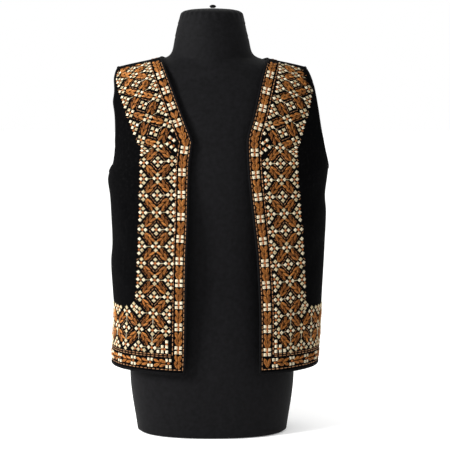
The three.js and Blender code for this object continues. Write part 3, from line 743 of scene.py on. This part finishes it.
# insets of the stitches from the bound edges, the armhole and the shoulder, and way past the seam
EDGE_INSET, ARMHOLE_INSET, SHOULDER_INSET, PAST_SEAM = 3.2, 4.8, 3.4, 6
LATTICE_INSET, LATTICE_ARMHOLE_INSET = 7.5, 6.5  # a lattice figure's middle lies inside these
LIMITS = {
    f"front_{word}": polygon_test(outline_of(side, EDGE_INSET, ARMHOLE_INSET, SHOULDER_INSET, PAST_SEAM))
    for side, word in SIDES.items()
}
STRAND_SIDE, STRAND_FOOT = 0.1, 0.35  # a strand's sides lie over the cloth and its foot in it
strand_sets = {}


def lay(panel, colour, points, half_widths, rises):
    """Adds strands: points (strands, stations, 3) near the surface, widths and rises by station."""
    if len(points) == 0:
        return
    shape = points.shape[:2]
    widths = np.broadcast_to(np.asarray(half_widths, float), shape)
    high = np.broadcast_to(np.asarray(rises, float), shape)
    if panel in LIMITS:
        within = LIMITS[panel](points[..., 0], points[..., 2]).reshape(shape).all(-1)
        points, widths, high = points[within], widths[within], high[within]
    strand_sets.setdefault((panel, colour), []).append((points, widths, high))


def build_strands(panel, colour):
    """One object of all strands of a colour on a panel, each with four sides."""
    corners, faces, start = [], [], 0
    for points, widths, high in strand_sets[panel, colour]:
        p, n = dress(settle(points))
        aside = unit(np.cross(n, np.gradient(p, axis=1))) * widths[..., None]
        edge = p + n * STRAND_SIDE
        top, foot = p + n * high[..., None], p - n * STRAND_FOOT
        ring = np.stack([edge + aside, top, edge - aside, foot], 2)
        corners.append(ring.reshape(-1, 3))
        index = start + np.arange(ring[..., 0].size).reshape(ring.shape[:3])
        faces += [tube_quads(index).reshape(-1, 4), index[:, 0, ::-1], index[:, -1]]
        start += index.size
    name = f"stitches_{colour}_{panel}"
    return make_object(name, np.vstack(corners), np.vstack(faces), *THREADS[colour])


# ---- Embroidery: charts ----
# Each front's lattice is an even repeat along a middle line. Rows of the lattice count down from
# the line's bend beside the neck's corner, with a node at every half row. An arm leads from each
# node to the column on its outer side, and another to the column on its edge side.
CHARTS = {
    RIGHT: {
        # row, distance from the vest's middle, height
        "middle": [(-4, 120, 548), (-3, 114, 532), (-2, 105.5, 506), (-1, 92.5, 471),
                   (0, 77.5, 431.5), (3, 81, 286.5), (6.5, 88.5, 115.5)],
        # row, outer arm's way out and up, edge arm's way out and up
        "arms": [(-3.5, 21, -7.4, -20.6, 7.4), (-0.5, 18.8, -12, -19.7, 12.2),
                 (0.5, 20.4, -1.8, -20.4, 1.5), (5.5, 20, 0.6, -19.8, -0.4)],
        "border": (35, 26.7, 157.2),  # first squares, their step and the first below the bend
        "hem": (143, 28),  # last squares from the side seam, and their step
        "filler": (112.8, 197.3),
        "corner": (65.4, 149.1),
        "wedge": (56.7, 453.8),
    },
    LEFT: {
        "middle": [(-4, 124, 552), (-3, 123, 533), (-2, 119, 505.5), (-1, 109, 469.5),
                   (0, 98.5, 429), (3, 108.5, 284.5), (4.5, 114, 210.5), (6.5, 114.5, 114.5)],
        "arms": [(-3.5, 21.6, -6.2, -19.1, 6), (-0.5, 19.2, -11.4, -19.5, 10.4),
                 (0.5, 19.2, -0.4, -19.1, 0.1), (5.5, 16.2, 1.8, -18, -1.8)],
        "border": (30, 28.4, 153.9),
        "hem": (123, 27),
        "filler": (136, 197.5),
        "corner": (92.4, 149),
        "wedge": (75.8, 449.5),
    },
}
CHART_GRID = np.arange(-4, 6.51, 0.01)
BORDER_MIDDLE, BORDER_STEP, HEM_BORDER_HEIGHT = 11.5, 32.1, 119.6


def triangle_steps(down, aside):
    """Six places in three rows, each row one longer than the row above."""
    rows = [(row, k) for row in range(3) for k in range(row + 1)]
    return np.array([np.multiply(row, down) + np.multiply(k, aside) for row, k in rows])


WEDGE_STEPS = triangle_steps((3.6, -9.6), (-5.9, -4.2))
CORNER_STEPS = triangle_steps((6.4, -6.9), (-6.4, 0))
CELL, PERIOD = 19.4, 48.5
OUTER_COLUMNS = 4  # lattice columns from the main band's outer side to the side seam


def together(*values):
    """Numbers or arrays as float arrays of one shape."""
    return np.broadcast_arrays(*(np.atleast_1d(np.asarray(v, float)) for v in values))


def on_front(side, distance, z):
    """Points of a front's surface at distances from the middle and heights."""
    x = side * np.asarray(distance, float)
    z = np.asarray(z, float)
    return np.stack([x, middle_y(z) - reach(FRONT, x, z), z], -1)


# The lattice's lower rows are spread evenly along horizontal sections to the side seams.
SECTION_STEP = 3.0
SECTION_HEIGHTS = np.arange(100, 215, SECTION_STEP)
SEAM_DISTANCES = np.arange(0, 260, 1.0)


def section_table(side, face):
    """Distances aside and ahead along sections, by height and way from the side seam, and lengths."""
    turn = np.linspace(0, math.pi / 2, 3000)
    aside, ahead, totals = [], [], []
    for z in SECTION_HEIGHTS:
        power = 2 / roundness(z)
        x = half_width(side, z) * np.cos(turn) ** power
        y = depth(face, z) * np.sin(turn) ** power
        s = way_along(np.stack([x, y], -1))
        aside.append(np.interp(SEAM_DISTANCES, s, x))
        ahead.append(np.interp(SEAM_DISTANCES, s, y))
        totals.append(s[-1])
    return np.array(aside), np.array(ahead), np.array(totals)


SECTIONS = {(side, face): section_table(side, face) for side in SIDES for face in (FRONT, BACK)}


def section_point(side, face, s, z):
    """Points at distances from the side seam along the sections at heights."""
    aside, ahead, _ = SECTIONS[side, face]
    s, z = np.broadcast_arrays(np.asarray(s, float), np.asarray(z, float))
    r = np.clip((z - SECTION_HEIGHTS[0]) / SECTION_STEP, 0, len(SECTION_HEIGHTS) - 1.001)
    c = np.clip(s, 0, len(SEAM_DISTANCES) - 1.001)
    i, j = r.astype(int), c.astype(int)
    u, v = r - i, c - j

    def read(table):
        return mix(mix(table[i, j], table[i, j + 1], v), mix(table[i + 1, j], table[i + 1, j + 1], v), u)

    return np.stack([side * read(aside), middle_y(z) + face * read(ahead), z], -1)


def section_distance(side, face, x, z):
    """Distance from the side seam along the section, at each place."""
    aside = SECTIONS[side, face][0]
    out = []
    for xi, zi in zip(np.abs(np.ravel(x)), np.ravel(z)):
        i = int(np.clip(round((zi - SECTION_HEIGHTS[0]) / SECTION_STEP), 0, len(SECTION_HEIGHTS) - 1))
        out.append(np.interp(-xi, -aside[i], SEAM_DISTANCES))
    return np.array(out).reshape(np.shape(x))


ARM_END = 1.35  # columns that the arms reach outward above the hem band
HEM_BAND_ROW = 4.4  # below it the outer columns are spread to the side seam


def front_chart(side):
    """Places on a front by column, negative on the outer side, and row."""
    chart = CHARTS[side]
    middle = [smooth_column(chart["middle"], i, CHART_GRID) for i in (1, 2)]
    arms = [smooth_column(chart["arms"], i, CHART_GRID) for i in (1, 2, 3, 4)]

    def place(c, t):
        c, t = together(c, t)
        out, into = np.maximum(-np.maximum(c, -ARM_END), 0), np.maximum(c, 0)
        p = on_front(side, *(middle[i](t) + out * arms[i](t) + into * arms[i + 2](t)
                             for i in (0, 1)))
        beyond = (c < -1) & (t > HEM_BAND_ROW)
        if beyond.any():
            rows = t[beyond]
            start = [middle[i](rows) + arms[i](rows) for i in (0, 1)]
            s = section_distance(side, FRONT, *start)
            s = s * (c[beyond] + 1 + OUTER_COLUMNS) / OUTER_COLUMNS
            p[beyond] = section_point(side, FRONT, s, start[1])
        return p

    return place


BACK_COLUMNS = 16
BACK_ROW, BACK_ROW_HEIGHT, BACK_ROW_STEP = 5, 187, 48.6
BACK_BORDER_SECTION, BACK_BORDER_HEIGHT, BACK_BORDER_STEP = 118, 118.2, 24


def back_halves(z):
    """Lengths of the back's sections from the right and left side seams to the middle."""
    return [np.interp(z, SECTION_HEIGHTS, SECTIONS[side, BACK][2]) for side in SIDES]


def round_back(s, z, right, left):
    """Points at distances from the wearer's right side seam, where the halves have these lengths."""
    on_right = s < right
    a = section_point(RIGHT, BACK, np.where(on_right, s, 0), z)
    b = section_point(LEFT, BACK, np.where(on_right, 0, right + left - s), z)
    return np.where(on_right[..., None], a, b)


def back_chart(c, t):
    """c counts columns from the wearer's right side seam; t is the height's row, as in front."""
    c, t = together(c, t)
    z = BACK_ROW_HEIGHT - (t - BACK_ROW) * BACK_ROW_STEP
    right, left = back_halves(z)
    return round_back((right + left) * c / BACK_COLUMNS, z, right, left)


# limits within which squares shrink or grow with the lattice, across and along it
ACROSS_SCALES, ALONG_SCALES = (0.72, 1.06), (0.5, 1.05)


def frames(place, c, t):
    """Local frames at chart places: middle, directions across and along, and scales."""
    c, t = np.asarray(c, float), np.asarray(t, float)
    d = 0.03
    origin = place(c, t)
    across = (place(c + d, t) - place(c - d, t)) / (2 * d)
    along = (place(c, t + d) - place(c, t - d)) / (2 * d)
    ka = np.clip(np.linalg.norm(across, axis=-1) / CELL, *ACROSS_SCALES)
    kb = np.clip(np.linalg.norm(along, axis=-1) / PERIOD, *ALONG_SCALES)
    b = unit(along)
    a = unit(across - (across * b).sum(-1, keepdims=True) * b)
    return {"o": origin, "a": a, "b": b, "ka": ka, "kb": kb}


def path_frames(points, downs):
    """Frames at points of the surface, whose second direction is given."""
    o = settle(points)
    n = unit(flow(o))
    b = unit(downs - (downs * n).sum(-1, keepdims=True) * n)
    a = unit(np.cross(n, b))
    one = np.ones(len(o))
    return {"o": o, "a": a, "b": b, "ka": one, "kb": one}


def hanging_frames(points):
    """Frames at points of the surface, whose second direction is down."""
    return path_frames(points, np.array([(0.0, 0.0, -1.0)] * len(points)))


def frames_along(point, at, step):
    """Frames at distances along a path, whose second direction follows it."""
    return path_frames(point(at), unit(point(at + step) - point(at - step)))


def at_frames(f, a, b):
    """Points at offsets in millimetres: a and b have stations in their last axis."""
    a, b = np.broadcast_arrays(a, b)
    a, b = (np.broadcast_to(v, (len(f["o"]), v.shape[-1])) for v in (a, b))
    return (f["o"][:, None] + (a * f["ka"][:, None])[..., None] * f["a"][:, None]
            + (b * f["kb"][:, None])[..., None] * f["b"][:, None])


# ---- Embroidery: stitches ----
SEED = 7
random = np.random.default_rng(SEED)
# a satin stitch: stations along it, half widths and rises
PAD = np.array([0, 0.22, 0.78, 1.0])
PAD_WIDTH = (0.44, 0.54, 0.54, 0.44)
PAD_RISE = (0.4, 1.0, 1.0, 0.4)
FINE_THREAD, PALE_THREAD, LONG_THREAD, SHORT_THREAD = (0.3, 0.5), (0.34, 0.5), (0.38, 0.55), (0.4, 0.5)


def wobble(f, most):
    """A small random offset for each frame."""
    return random.uniform(-most, most, (len(f["o"]), 1))


def diamond(panel, f, a, b, lengthwise=False):
    """A satin-stitched square that stands on its corner."""
    # squares stitched lengthwise get the cream thread's darker copy, as painted shade of their duller
    # sheen
    colour, half = ("khaki", 2.95) if lengthwise else ("cream", 2.7)
    for share in (-0.84, -0.56, -0.28, 0, 0.28, 0.56, 0.84):
        end = half * (1 - abs(share)) + 0.05
        run = mix(-end, end, PAD)
        off = share * half + wobble(f, 0.1)
        points = at_frames(f, a + off, b + run) if lengthwise else at_frames(f, a + run, b + off)
        lay(panel, colour, points, PAD_WIDTH, PAD_RISE)


def block(panel, f, a, b, wide, tall):
    """A satin-stitched square that stands upright."""
    run = mix(-wide / 2, wide / 2, PAD)
    for share in (-0.4, -0.2, 0, 0.2, 0.4):
        points = at_frames(f, a + run + wobble(f, 0.15), b + share * tall)
        lay(panel, "cream", points, PAD_WIDTH, PAD_RISE)


def tick(panel, f, a, b, size=1.5):
    """Small crossed stitches between the pale squares."""
    run = np.array([-1, -0.4, 0.4, 1]) * size
    for slope in (-1, 1):
        for off in (-0.5, 0.5):
            points = at_frames(f, a + run + off, b + slope * (run - off))
            lay(panel, "russet", points, (0.36, 0.56, 0.56, 0.36), (0.3, 0.85, 0.85, 0.3))


LEAF = np.array([0, 0.2, 0.45, 0.75, 1.0])
LEAF_WIDTHS = np.array([0.3, 0.9, 1, 0.8, 0.3]) * 0.105  # of the strands, as shares of the leaf
# a leaf's strands: place across it and how often the strand is dark; the side strands are mostly dark and
# those beside the middle mostly light, as painted shade and highlight of the leaf's relief
LEAF_STRANDS = [(-1.0, 0.75), (-0.5, 0.1), (0.0, 0.5), (0.5, 0.1), (1.0, 0.6)]


def leaves(panel, middles, directions, length, width, skew=1.0, steep_shade_weight=0.0):
    """Satin-stitched leaves: strands that part and meet again. Steep ones are painted darker, as shade
    for their duller sheen.
    """
    o = settle(middles)
    n = unit(flow(o))
    d = unit(directions - (directions * n).sum(-1, keepdims=True) * n)
    across = unit(np.cross(n, d))
    # steep leaves get more dark strands: painted shade for the duller sheen of threads that run up and
    # down
    steep_shade = np.clip((np.abs(d[:, 2]) - 0.8) / 0.15, 0, 1) * steep_shade_weight
    for share, painted_shade_share in LEAF_STRANDS:
        bow = share * (width / 2 - 0.25) * np.sin(np.pi * mix(0.03, 0.97, LEAF) ** skew)
        shift = random.uniform(-0.3, 0.3, (len(o), 1))
        run = (LEAF - 0.5) * length[:, None] * (1 - 0.1 * abs(share)) + shift
        points = o[:, None] + run[..., None] * d[:, None] + bow[None, :, None] * across[:, None]
        rise = 1.35 - 0.45 * abs(share)
        # dark strands take the deep brown thread as painted shade, the others the orange-brown one
        dark = random.uniform(0, 1, len(o)) < mix(painted_shade_share, 1, steep_shade)
        for colour, mask in (("orange", ~dark), ("brown", dark)):
            rises = (0.2, rise * 0.8, rise, rise * 0.8, 0.2)
            lay(panel, colour, points[mask], LEAF_WIDTHS * width, rises)


def walk(line):
    """The length of a line of points, and a function for its points at distances along it."""
    s = way_along(line)

    def point(at):
        return np.stack([np.interp(at, s, line[:, i]) for i in range(3)], -1)

    return s[-1], point


DASH, DASH_GAP, DASH_WIDTH, DASH_RISE = 4.4, 1.8, 0.6, 0.75


def dashes(panel, line):
    """A line of running stitches along a path of points."""
    length, point = walk(settle(line))
    count = int(length // (DASH + DASH_GAP))
    step = length / count
    starts = np.arange(count) * step + (step - DASH) / 2
    points = point(starts[:, None] + np.array([0, 0.5, 1]) * DASH)
    lay(panel, "tan", points, np.array([0.8, 1, 0.8]) * DASH_WIDTH, (0.25, DASH_RISE, 0.25))


def segment(place, c0, t0, c1, t1, stations=4):
    """Straight chart segments between arrays of chart places."""
    c0, t0, c1, t1 = together(c0, t0, c1, t1)
    u = np.linspace(0, 1, stations)
    c = c0[:, None] + (c1 - c0)[:, None] * u
    t = t0[:, None] + (t1 - t0)[:, None] * u
    return place(c.ravel(), t.ravel()).reshape(len(c0), stations, 3)


# ---- Embroidery: figures of the lattice ----
def node_frames(place, nodes, keep):
    """Frames at the nodes that lie on the cloth."""
    kept = np.array([n for n in nodes if keep(*n)], float).reshape(-1, 2)
    return frames(place, *kept.T)


def four_diamonds(panel, f, aside, ahead):
    """Four squares on their corners round a small cross."""
    for sign in (-1, 1):
        diamond(panel, f, sign * aside, 0)
        diamond(panel, f, 0, sign * ahead, lengthwise=True)
    tick(panel, f, 0, 0)


def cluster(panel, place, nodes, keep):
    """Four squares round a cross at each node."""
    four_diamonds(panel, node_frames(place, nodes, keep), 4.6, 5.4)


# squares of a triangle from its tip: way ahead, way aside and whether it is worked lengthwise
TRIANGLE_ASIDE = [(4.3, 0, False), (0.3, 5.6, True), (0.3, -5.6, True),
                  (-3.9, 0, False), (-3.9, 10.6, False), (-3.9, -10.6, False)]
TRIANGLE_UPRIGHT = [(5.2, 0, True), (0.6, 4.7, False), (0.6, -4.7, False),
                    (-4.4, 0, True), (-4.4, 9.2, True), (-4.4, -9.2, True)]
TRIANGLE_TICKS = [(0.2, 0), (-4.1, 5.3), (-4.1, -5.3)]


def triangle(panel, place, nodes, keep, toward):
    """Six squares in a triangle whose tip points along (a, b) in the local frame."""
    f = node_frames(place, nodes, keep)
    sideways = toward[0] != 0

    def turned(ahead, aside):
        return (ahead * toward[0], aside) if sideways else (aside, ahead * toward[1])

    for ahead, aside, lengthwise in TRIANGLE_ASIDE if sideways else TRIANGLE_UPRIGHT:
        diamond(panel, f, *turned(ahead, aside), lengthwise)
    for ahead, aside in TRIANGLE_TICKS:
        tick(panel, f, *turned(ahead, aside), 1.2)


EAR_LEAN, EAR_ASIDE, EAR_LENGTH, EAR_LEAF, EAR_LEAF_WIDTH = math.radians(17), 2.3, 31.0, 11.8, 3.65


def sheaves(panel, place, centres, keep):
    """Four ears of leaves round each lozenge's middle, and the thin lines beside them."""
    for sc, st in ((1, 1), (1, -1), (-1, 1), (-1, -1)):
        kept = [n for n in centres if keep(n[0] + sc * 0.5, n[1] + st * 0.25)]
        c, t = np.array(kept, float).reshape(-1, 2).T

        def on_side(share, size=1):
            """A chart place on a lozenge's side, from its upper or lower tip to its side tip."""
            return c + sc * size * share, t + st * 0.5 * size * (1 - share)

        length = np.linalg.norm(place(*on_side(1)) - place(*on_side(0)), axis=-1)
        scale = np.clip(length / EAR_LENGTH, 0.5, 1.12)
        for share in (0.355, 0.632):
            middle = place(*on_side(share))
            d = unit(place(*on_side(share + 0.05)) - place(*on_side(share - 0.05)))
            side = unit(np.cross(unit(flow(settle(middle))), d))
            for sign in (-1, 1):
                direction = d * math.cos(EAR_LEAN) - sign * side * math.sin(EAR_LEAN)
                where = middle + side * (sign * EAR_ASIDE * scale)[:, None]
                leaves(panel, where, direction, EAR_LEAF * scale, EAR_LEAF_WIDTH, steep_shade_weight=0.8)
        for colour, size, starts in (("tan", 0.56, (0.1, 0.4, 0.7)), ("brown", 1.38, (0.33, 0.46, 0.59))):
            for low in starts:
                line = segment(place, *on_side(low, size), *on_side(low + 0.12 / size, size), 3)
                lay(panel, colour, line, *LONG_THREAD)


# ---- Embroidery: borders ----
# the front border's middle line: its foot, its inset at the top and the gap to the shoulder
BORDER_FOOT, BORDER_TOP_INSET, BORDER_TOP_GAP = 111.5, 13, 4
# the least distances from its squares to the bend and to the top, and a last stop past its end
BEND_GAP, TOP_GAP, LAST_STOP = 30, 20, 3.8


def border_line(side, a, low, high, count=220):
    """A line inset by a from the front edge, between two heights."""
    z = np.linspace(high, low, count)
    return on_front(side, inset_edge(side, z, a), z)


def four_blocks(panel, f, across, along, wide, tall):
    """Two by two upright squares, by the distances of their middles, and their size."""
    for sa in (-0.5, 0.5):
        for sb in (-0.5, 0.5):
            block(panel, f, sa * across, sb * along, wide, tall)


def square_cluster(panel, f):
    """Two by two upright squares round small crosses."""
    four_blocks(panel, f, 6.3, 6.6, 4.3, 4.2)
    for b, size in ((0, 1.25), (3.4, 1.0), (-3.4, 1.0)):
        tick(panel, f, 0, b, size)


# the leaf pairs of a border: margin round its squares, pitch, longest leaf, width of pair and leaf
EDGE_PAIRS = (6.4, 9.4, 10.2, 9.9, 4.6)
HEM_PAIRS = (4.8, 7.6, 8.6, 11.0, 4.0)
# insets of the lines beside a border, its middle's inset at the back neck and its squares' step
BORDER_LINES, NECK_BORDER_MIDDLE, NECK_BORDER_STEP = (4.2, 19.8), 13.2, 31.8
# the hem border's lines: height over its middle, and how far they run on toward the front edge
HEM_LINES = ((-8.4, 15), (9.0, 0), (11.8, 0))


def leaf_pairs(panel, point, stops, kind, step):
    """Pairs of leaves that meet at their lower ends and fill a border between its stops."""
    margin, pitch, longest, width, leaf = kind
    marks, sizes = [], []
    for low, high in zip(np.array(stops[:-1]) + margin, np.array(stops[1:]) - margin):
        count = max(int(round((high - low) / pitch)), 0)
        size = (high - low) / max(count, 1)
        marks += [low + (k + 0.5) * size for k in range(count)]
        sizes += [min(size, longest)] * count
    f = frames_along(point, np.array(marks), step)
    sizes = np.array(sizes)
    lengths = sizes * 1.32
    lean = np.arctan2(width * 0.36, lengths)[:, None]
    for sign in (-1, 1):
        direction = f["b"] * np.cos(lean) - sign * f["a"] * np.sin(lean)
        where = f["o"] + sign * f["a"] * (width * 0.24) + f["b"] * (sizes * 0.12)[:, None]
        leaves(panel, where, direction, lengths, leaf, 0.7, 0.4)


def border(panel, point, at, stops):
    """A border along a path: squares at distances along it, and leaf pairs between the stops."""
    square_cluster(panel, frames_along(point, at, 2))
    leaf_pairs(panel, point, stops, EDGE_PAIRS, 2)


def hem_run(panel, point, first, last, spots):
    """The border above a hem: squares at the spots, leaf pairs between them, and dashes."""
    def middle(s):
        return point(s, 0)

    f = hanging_frames(middle(spots))
    four_blocks(panel, f, 5.2, 8.4, 3.4, 3.7)
    tick(panel, f, 0, 0, 1.3)
    leaf_pairs(panel, middle, [first - 6, *spots, last + 6], HEM_PAIRS, 1)
    for up, beyond in HEM_LINES:
        dashes(panel, point(np.linspace(first, last + beyond, 160), up))


def hem_border_front(side, panel):
    """The border above a front's hem, from its side seam to the border beside its edge."""
    def point(s, up):
        return section_point(side, FRONT, s, HEM_BORDER_HEIGHT + up)

    edge = inset_edge(side, HEM_BORDER_HEIGHT, 20.5)
    last = float(section_distance(side, FRONT, edge, HEM_BORDER_HEIGHT))
    nearest, step = CHARTS[side]["hem"]
    hem_run(panel, point, 1.5, last, np.arange(nearest, 5, -step)[::-1])


# ---- Embroidery: the panels ----
def embroider_front(side):
    name = f"front_{SIDES[side]}"
    chart = CHARTS[side]
    place = front_chart(side)
    inside = polygon_test(outline_of(side, LATTICE_INSET, LATTICE_ARMHOLE_INSET, 0, 0))

    def keep(c, t):
        """Whether a chart place lies on the cloth; the outer columns of the hem band always do."""
        if c < -1.5:
            return True
        p = place(c, t)[0]
        return bool(inside(p[0], p[2])[0])

    whole = list(range(-4, 7))
    halves = [t + 0.5 for t in range(-4, 6)]
    outer = range(2, OUTER_COLUMNS + 1, 2)
    odd = [-c - 1 for c in outer if c < OUTER_COLUMNS]
    cluster(name, place, [(0, t) for t in whole], keep)
    cluster(name, place, [(0, t) for t in halves], keep)
    cluster(name, place, [(c, t) for t in halves for c in (-1, 1)], keep)
    cluster(name, place, [(-1, 5)], keep)
    cluster(name, place, [(-c, t) for c in outer for t in (5, 5.5, 6)], keep)
    cluster(name, place, [(c, 5.5) for c in odd], keep)
    triangle(name, place, [(-1, t) for t in whole if t <= 4], keep, (1, 0))
    triangle(name, place, [(1, t) for t in whole if t <= 5 and t != 0], keep, (-1, 0))
    triangle(name, place, [(c, 5) for c in odd], keep, (0, 1))
    triangle(name, place, [(c, 6) for c in odd] + [(-1, 6)], keep, (0, -1))
    sheaves(name, place, [(0, t) for t in halves] + [(-c, 5.5) for c in outer], keep)

    # thin pale threads between the clusters; the first ones in the cream thread's darker copy with its
    # painted shade
    t = np.array([v for v in whole if keep(0.5, v) and keep(-0.5, v)], float)
    for sign in (-1, 1):
        lay(name, "khaki", segment(place, sign * 0.42, t, sign * 0.68, t), *FINE_THREAD)
    t = np.array([v for v in halves if keep(0.5, v)], float)
    lay(name, "cream", segment(place, 0.36, t, 0.68, t), *PALE_THREAD)
    lozenges = [0] + [-c for c in outer]
    for columns, low, high in ((lozenges, 5.17, 5.34), (lozenges, 5.66, 5.84), ([-1] + odd, 5.66, 5.8)):
        lay(name, "cream", segment(place, columns, low, columns, high), *PALE_THREAD)

    # short stitches beside the outer squares of the band
    run = np.array([-1, 0, 1]) * 1.25
    for column in (-1, 1):
        f = node_frames(place, [(column, t) for t in halves], keep)
        for sign in (-1, 1):
            points = at_frames(f, column * (5.7 - run), sign * (5.1 + run))
            lay(name, "tan", points, *SHORT_THREAD)

    # filler squares in the corner of the hem band, and in the wedge of the neck
    def filler_frames(places):
        return hanging_frames(on_front(side, *places.T))

    four_diamonds(name, filler_frames(np.array([chart["filler"]])), 4.3, 4.4)
    corner = CORNER_STEPS + chart["corner"]
    block(name, filler_frames(corner), 0, 0, 4.0, 4.0)
    tick(name, filler_frames((corner[[0, 1, 2]] + corner[[2, 4, 4]]) / 2), 0, 0, 1.2)
    wedge = WEDGE_STEPS + chart["wedge"]
    diamond(name, filler_frames(wedge), 0, 0)
    between = np.array([wedge[i].mean(0) for i in ([0, 1, 2, 4], [1, 3, 4], [2, 4, 5])])
    tick(name, filler_frames(between), 0, 0, 1.3)

    # border beside the front edge
    top = ridge(side, neck_point(side, BORDER_TOP_INSET)) - BORDER_TOP_GAP
    for inset, foot in zip(BORDER_LINES, (5.6, 26)):
        dashes(name, border_line(side, inset, HEM_HEIGHT + foot, top - 1))
    length, point = walk(border_line(side, BORDER_MIDDLE, BORDER_FOOT, top, 500))
    first, step, below = chart["border"]
    at = np.r_[np.arange(first, below - BEND_GAP, step), np.arange(below, length - TOP_GAP, BORDER_STEP)]
    border(name, point, at, [-EDGE_PAIRS[0], *at, length + LAST_STOP])
    hem_border_front(side, name)


def embroider_back():
    name = "back"
    odd, even = range(1, BACK_COLUMNS, 2), range(2, BACK_COLUMNS, 2)

    def keep(c, t):
        """The back's chart lies on the cloth everywhere."""
        return True

    cluster(name, back_chart, [(c, t) for c in odd for t in (5, 5.5, 6)], keep)
    cluster(name, back_chart, [(c, 5.5) for c in even], keep)
    triangle(name, back_chart, [(c, 5) for c in even], keep, (0, 1))
    triangle(name, back_chart, [(c, 6) for c in even], keep, (0, -1))
    sheaves(name, back_chart, [(c, 5.5) for c in odd], keep)
    for low, high in ((5.17, 5.34), (5.66, 5.84)):
        lay(name, "cream", segment(back_chart, odd, low, odd, high), *PALE_THREAD)

    right, left = back_halves(BACK_BORDER_SECTION)
    whole = right + left

    def point(s, up):
        return round_back(s, np.full(s.shape, BACK_BORDER_HEIGHT + up), right, left)

    count = int(round(whole / BACK_BORDER_STEP))
    hem_run(name, point, 1.5, whole - 1.5, (np.arange(count) + 0.5) * whole / count)

    # border along the back neckline, between the shoulder seams
    def neck_line(inset):
        x = np.linspace(-neck_point(RIGHT, inset), neck_point(LEFT, inset), 300)
        z = back_top(x, inset)
        behind = reach(BACK, x, z)
        return np.stack([x, middle_y(z) + behind, z], -1)[behind > 2.5]

    for inset in BORDER_LINES:
        dashes(name, neck_line(inset))
    length, point = walk(settle(neck_line(NECK_BORDER_MIDDLE)))
    count = int(round(length / NECK_BORDER_STEP))
    at = (np.arange(count) + 0.5) * length / count
    border(name, point, at, [-8.0, *at, length + 8.0])

embroider_front(RIGHT)
embroider_front(LEFT)
embroider_back()
stitches = {key: build_strands(*key) for key in sorted(strand_sets)}

# ---- Floor, light and camera ----
scene = bpy.context.scene
floor_mesh = bpy.data.meshes.new("floor")
floor_mesh.from_pydata([(-9, -9, 0), (9, -9, 0), (9, 9, 0), (-9, 9, 0)], [], [(0, 1, 2, 3)])
floor = bpy.data.objects.new("floor", floor_mesh)
scene.collection.objects.link(floor)
floor_material, _ = material("pale_floor", (0.95, 0.95, 0.945), 0.9, specular_ior_level=0.1,
                             emission_color=(1, 1, 1, 1), emission_strength=0.25)
floor_mesh.materials.append(floor_material)

world = bpy.data.worlds.new("studio")
world.use_nodes = True
world.node_tree.nodes["Background"].inputs["Color"].default_value = (1, 1, 1, 1)
world.node_tree.nodes["Background"].inputs["Strength"].default_value = 1.0
scene.world = world


def stand(name, data, place, aim):
    """Puts a lamp or a camera at a place and turns it toward its aim."""
    obj = bpy.data.objects.new(name, data)
    obj.location = Vector(place) * MM
    obj.rotation_euler = (Vector(aim) * MM - obj.location).to_track_quat("-Z", "Y").to_euler()
    scene.collection.objects.link(obj)
    return obj


KEY_PLACE, KEY_AIM, KEY_SIZE, KEY_POWER = (-1400, -850, 920), (0, -50, 330), 0.6, 57
key = bpy.data.lights.new("key", "AREA")
key.size = KEY_SIZE
key.energy = KEY_POWER
stand("key", key, KEY_PLACE, KEY_AIM)

CAMERA_PLACE, CAMERA_AIM, CAMERA_LENS = (0, -2600, 577), (19.5, 0, 308.6), 139.97
camera = bpy.data.cameras.new("camera")
camera.sensor_width = 36
camera.lens = CAMERA_LENS
camera.clip_end = 50
scene.camera = stand("camera", camera, CAMERA_PLACE, CAMERA_AIM)
scene.view_settings.view_transform = "Standard"
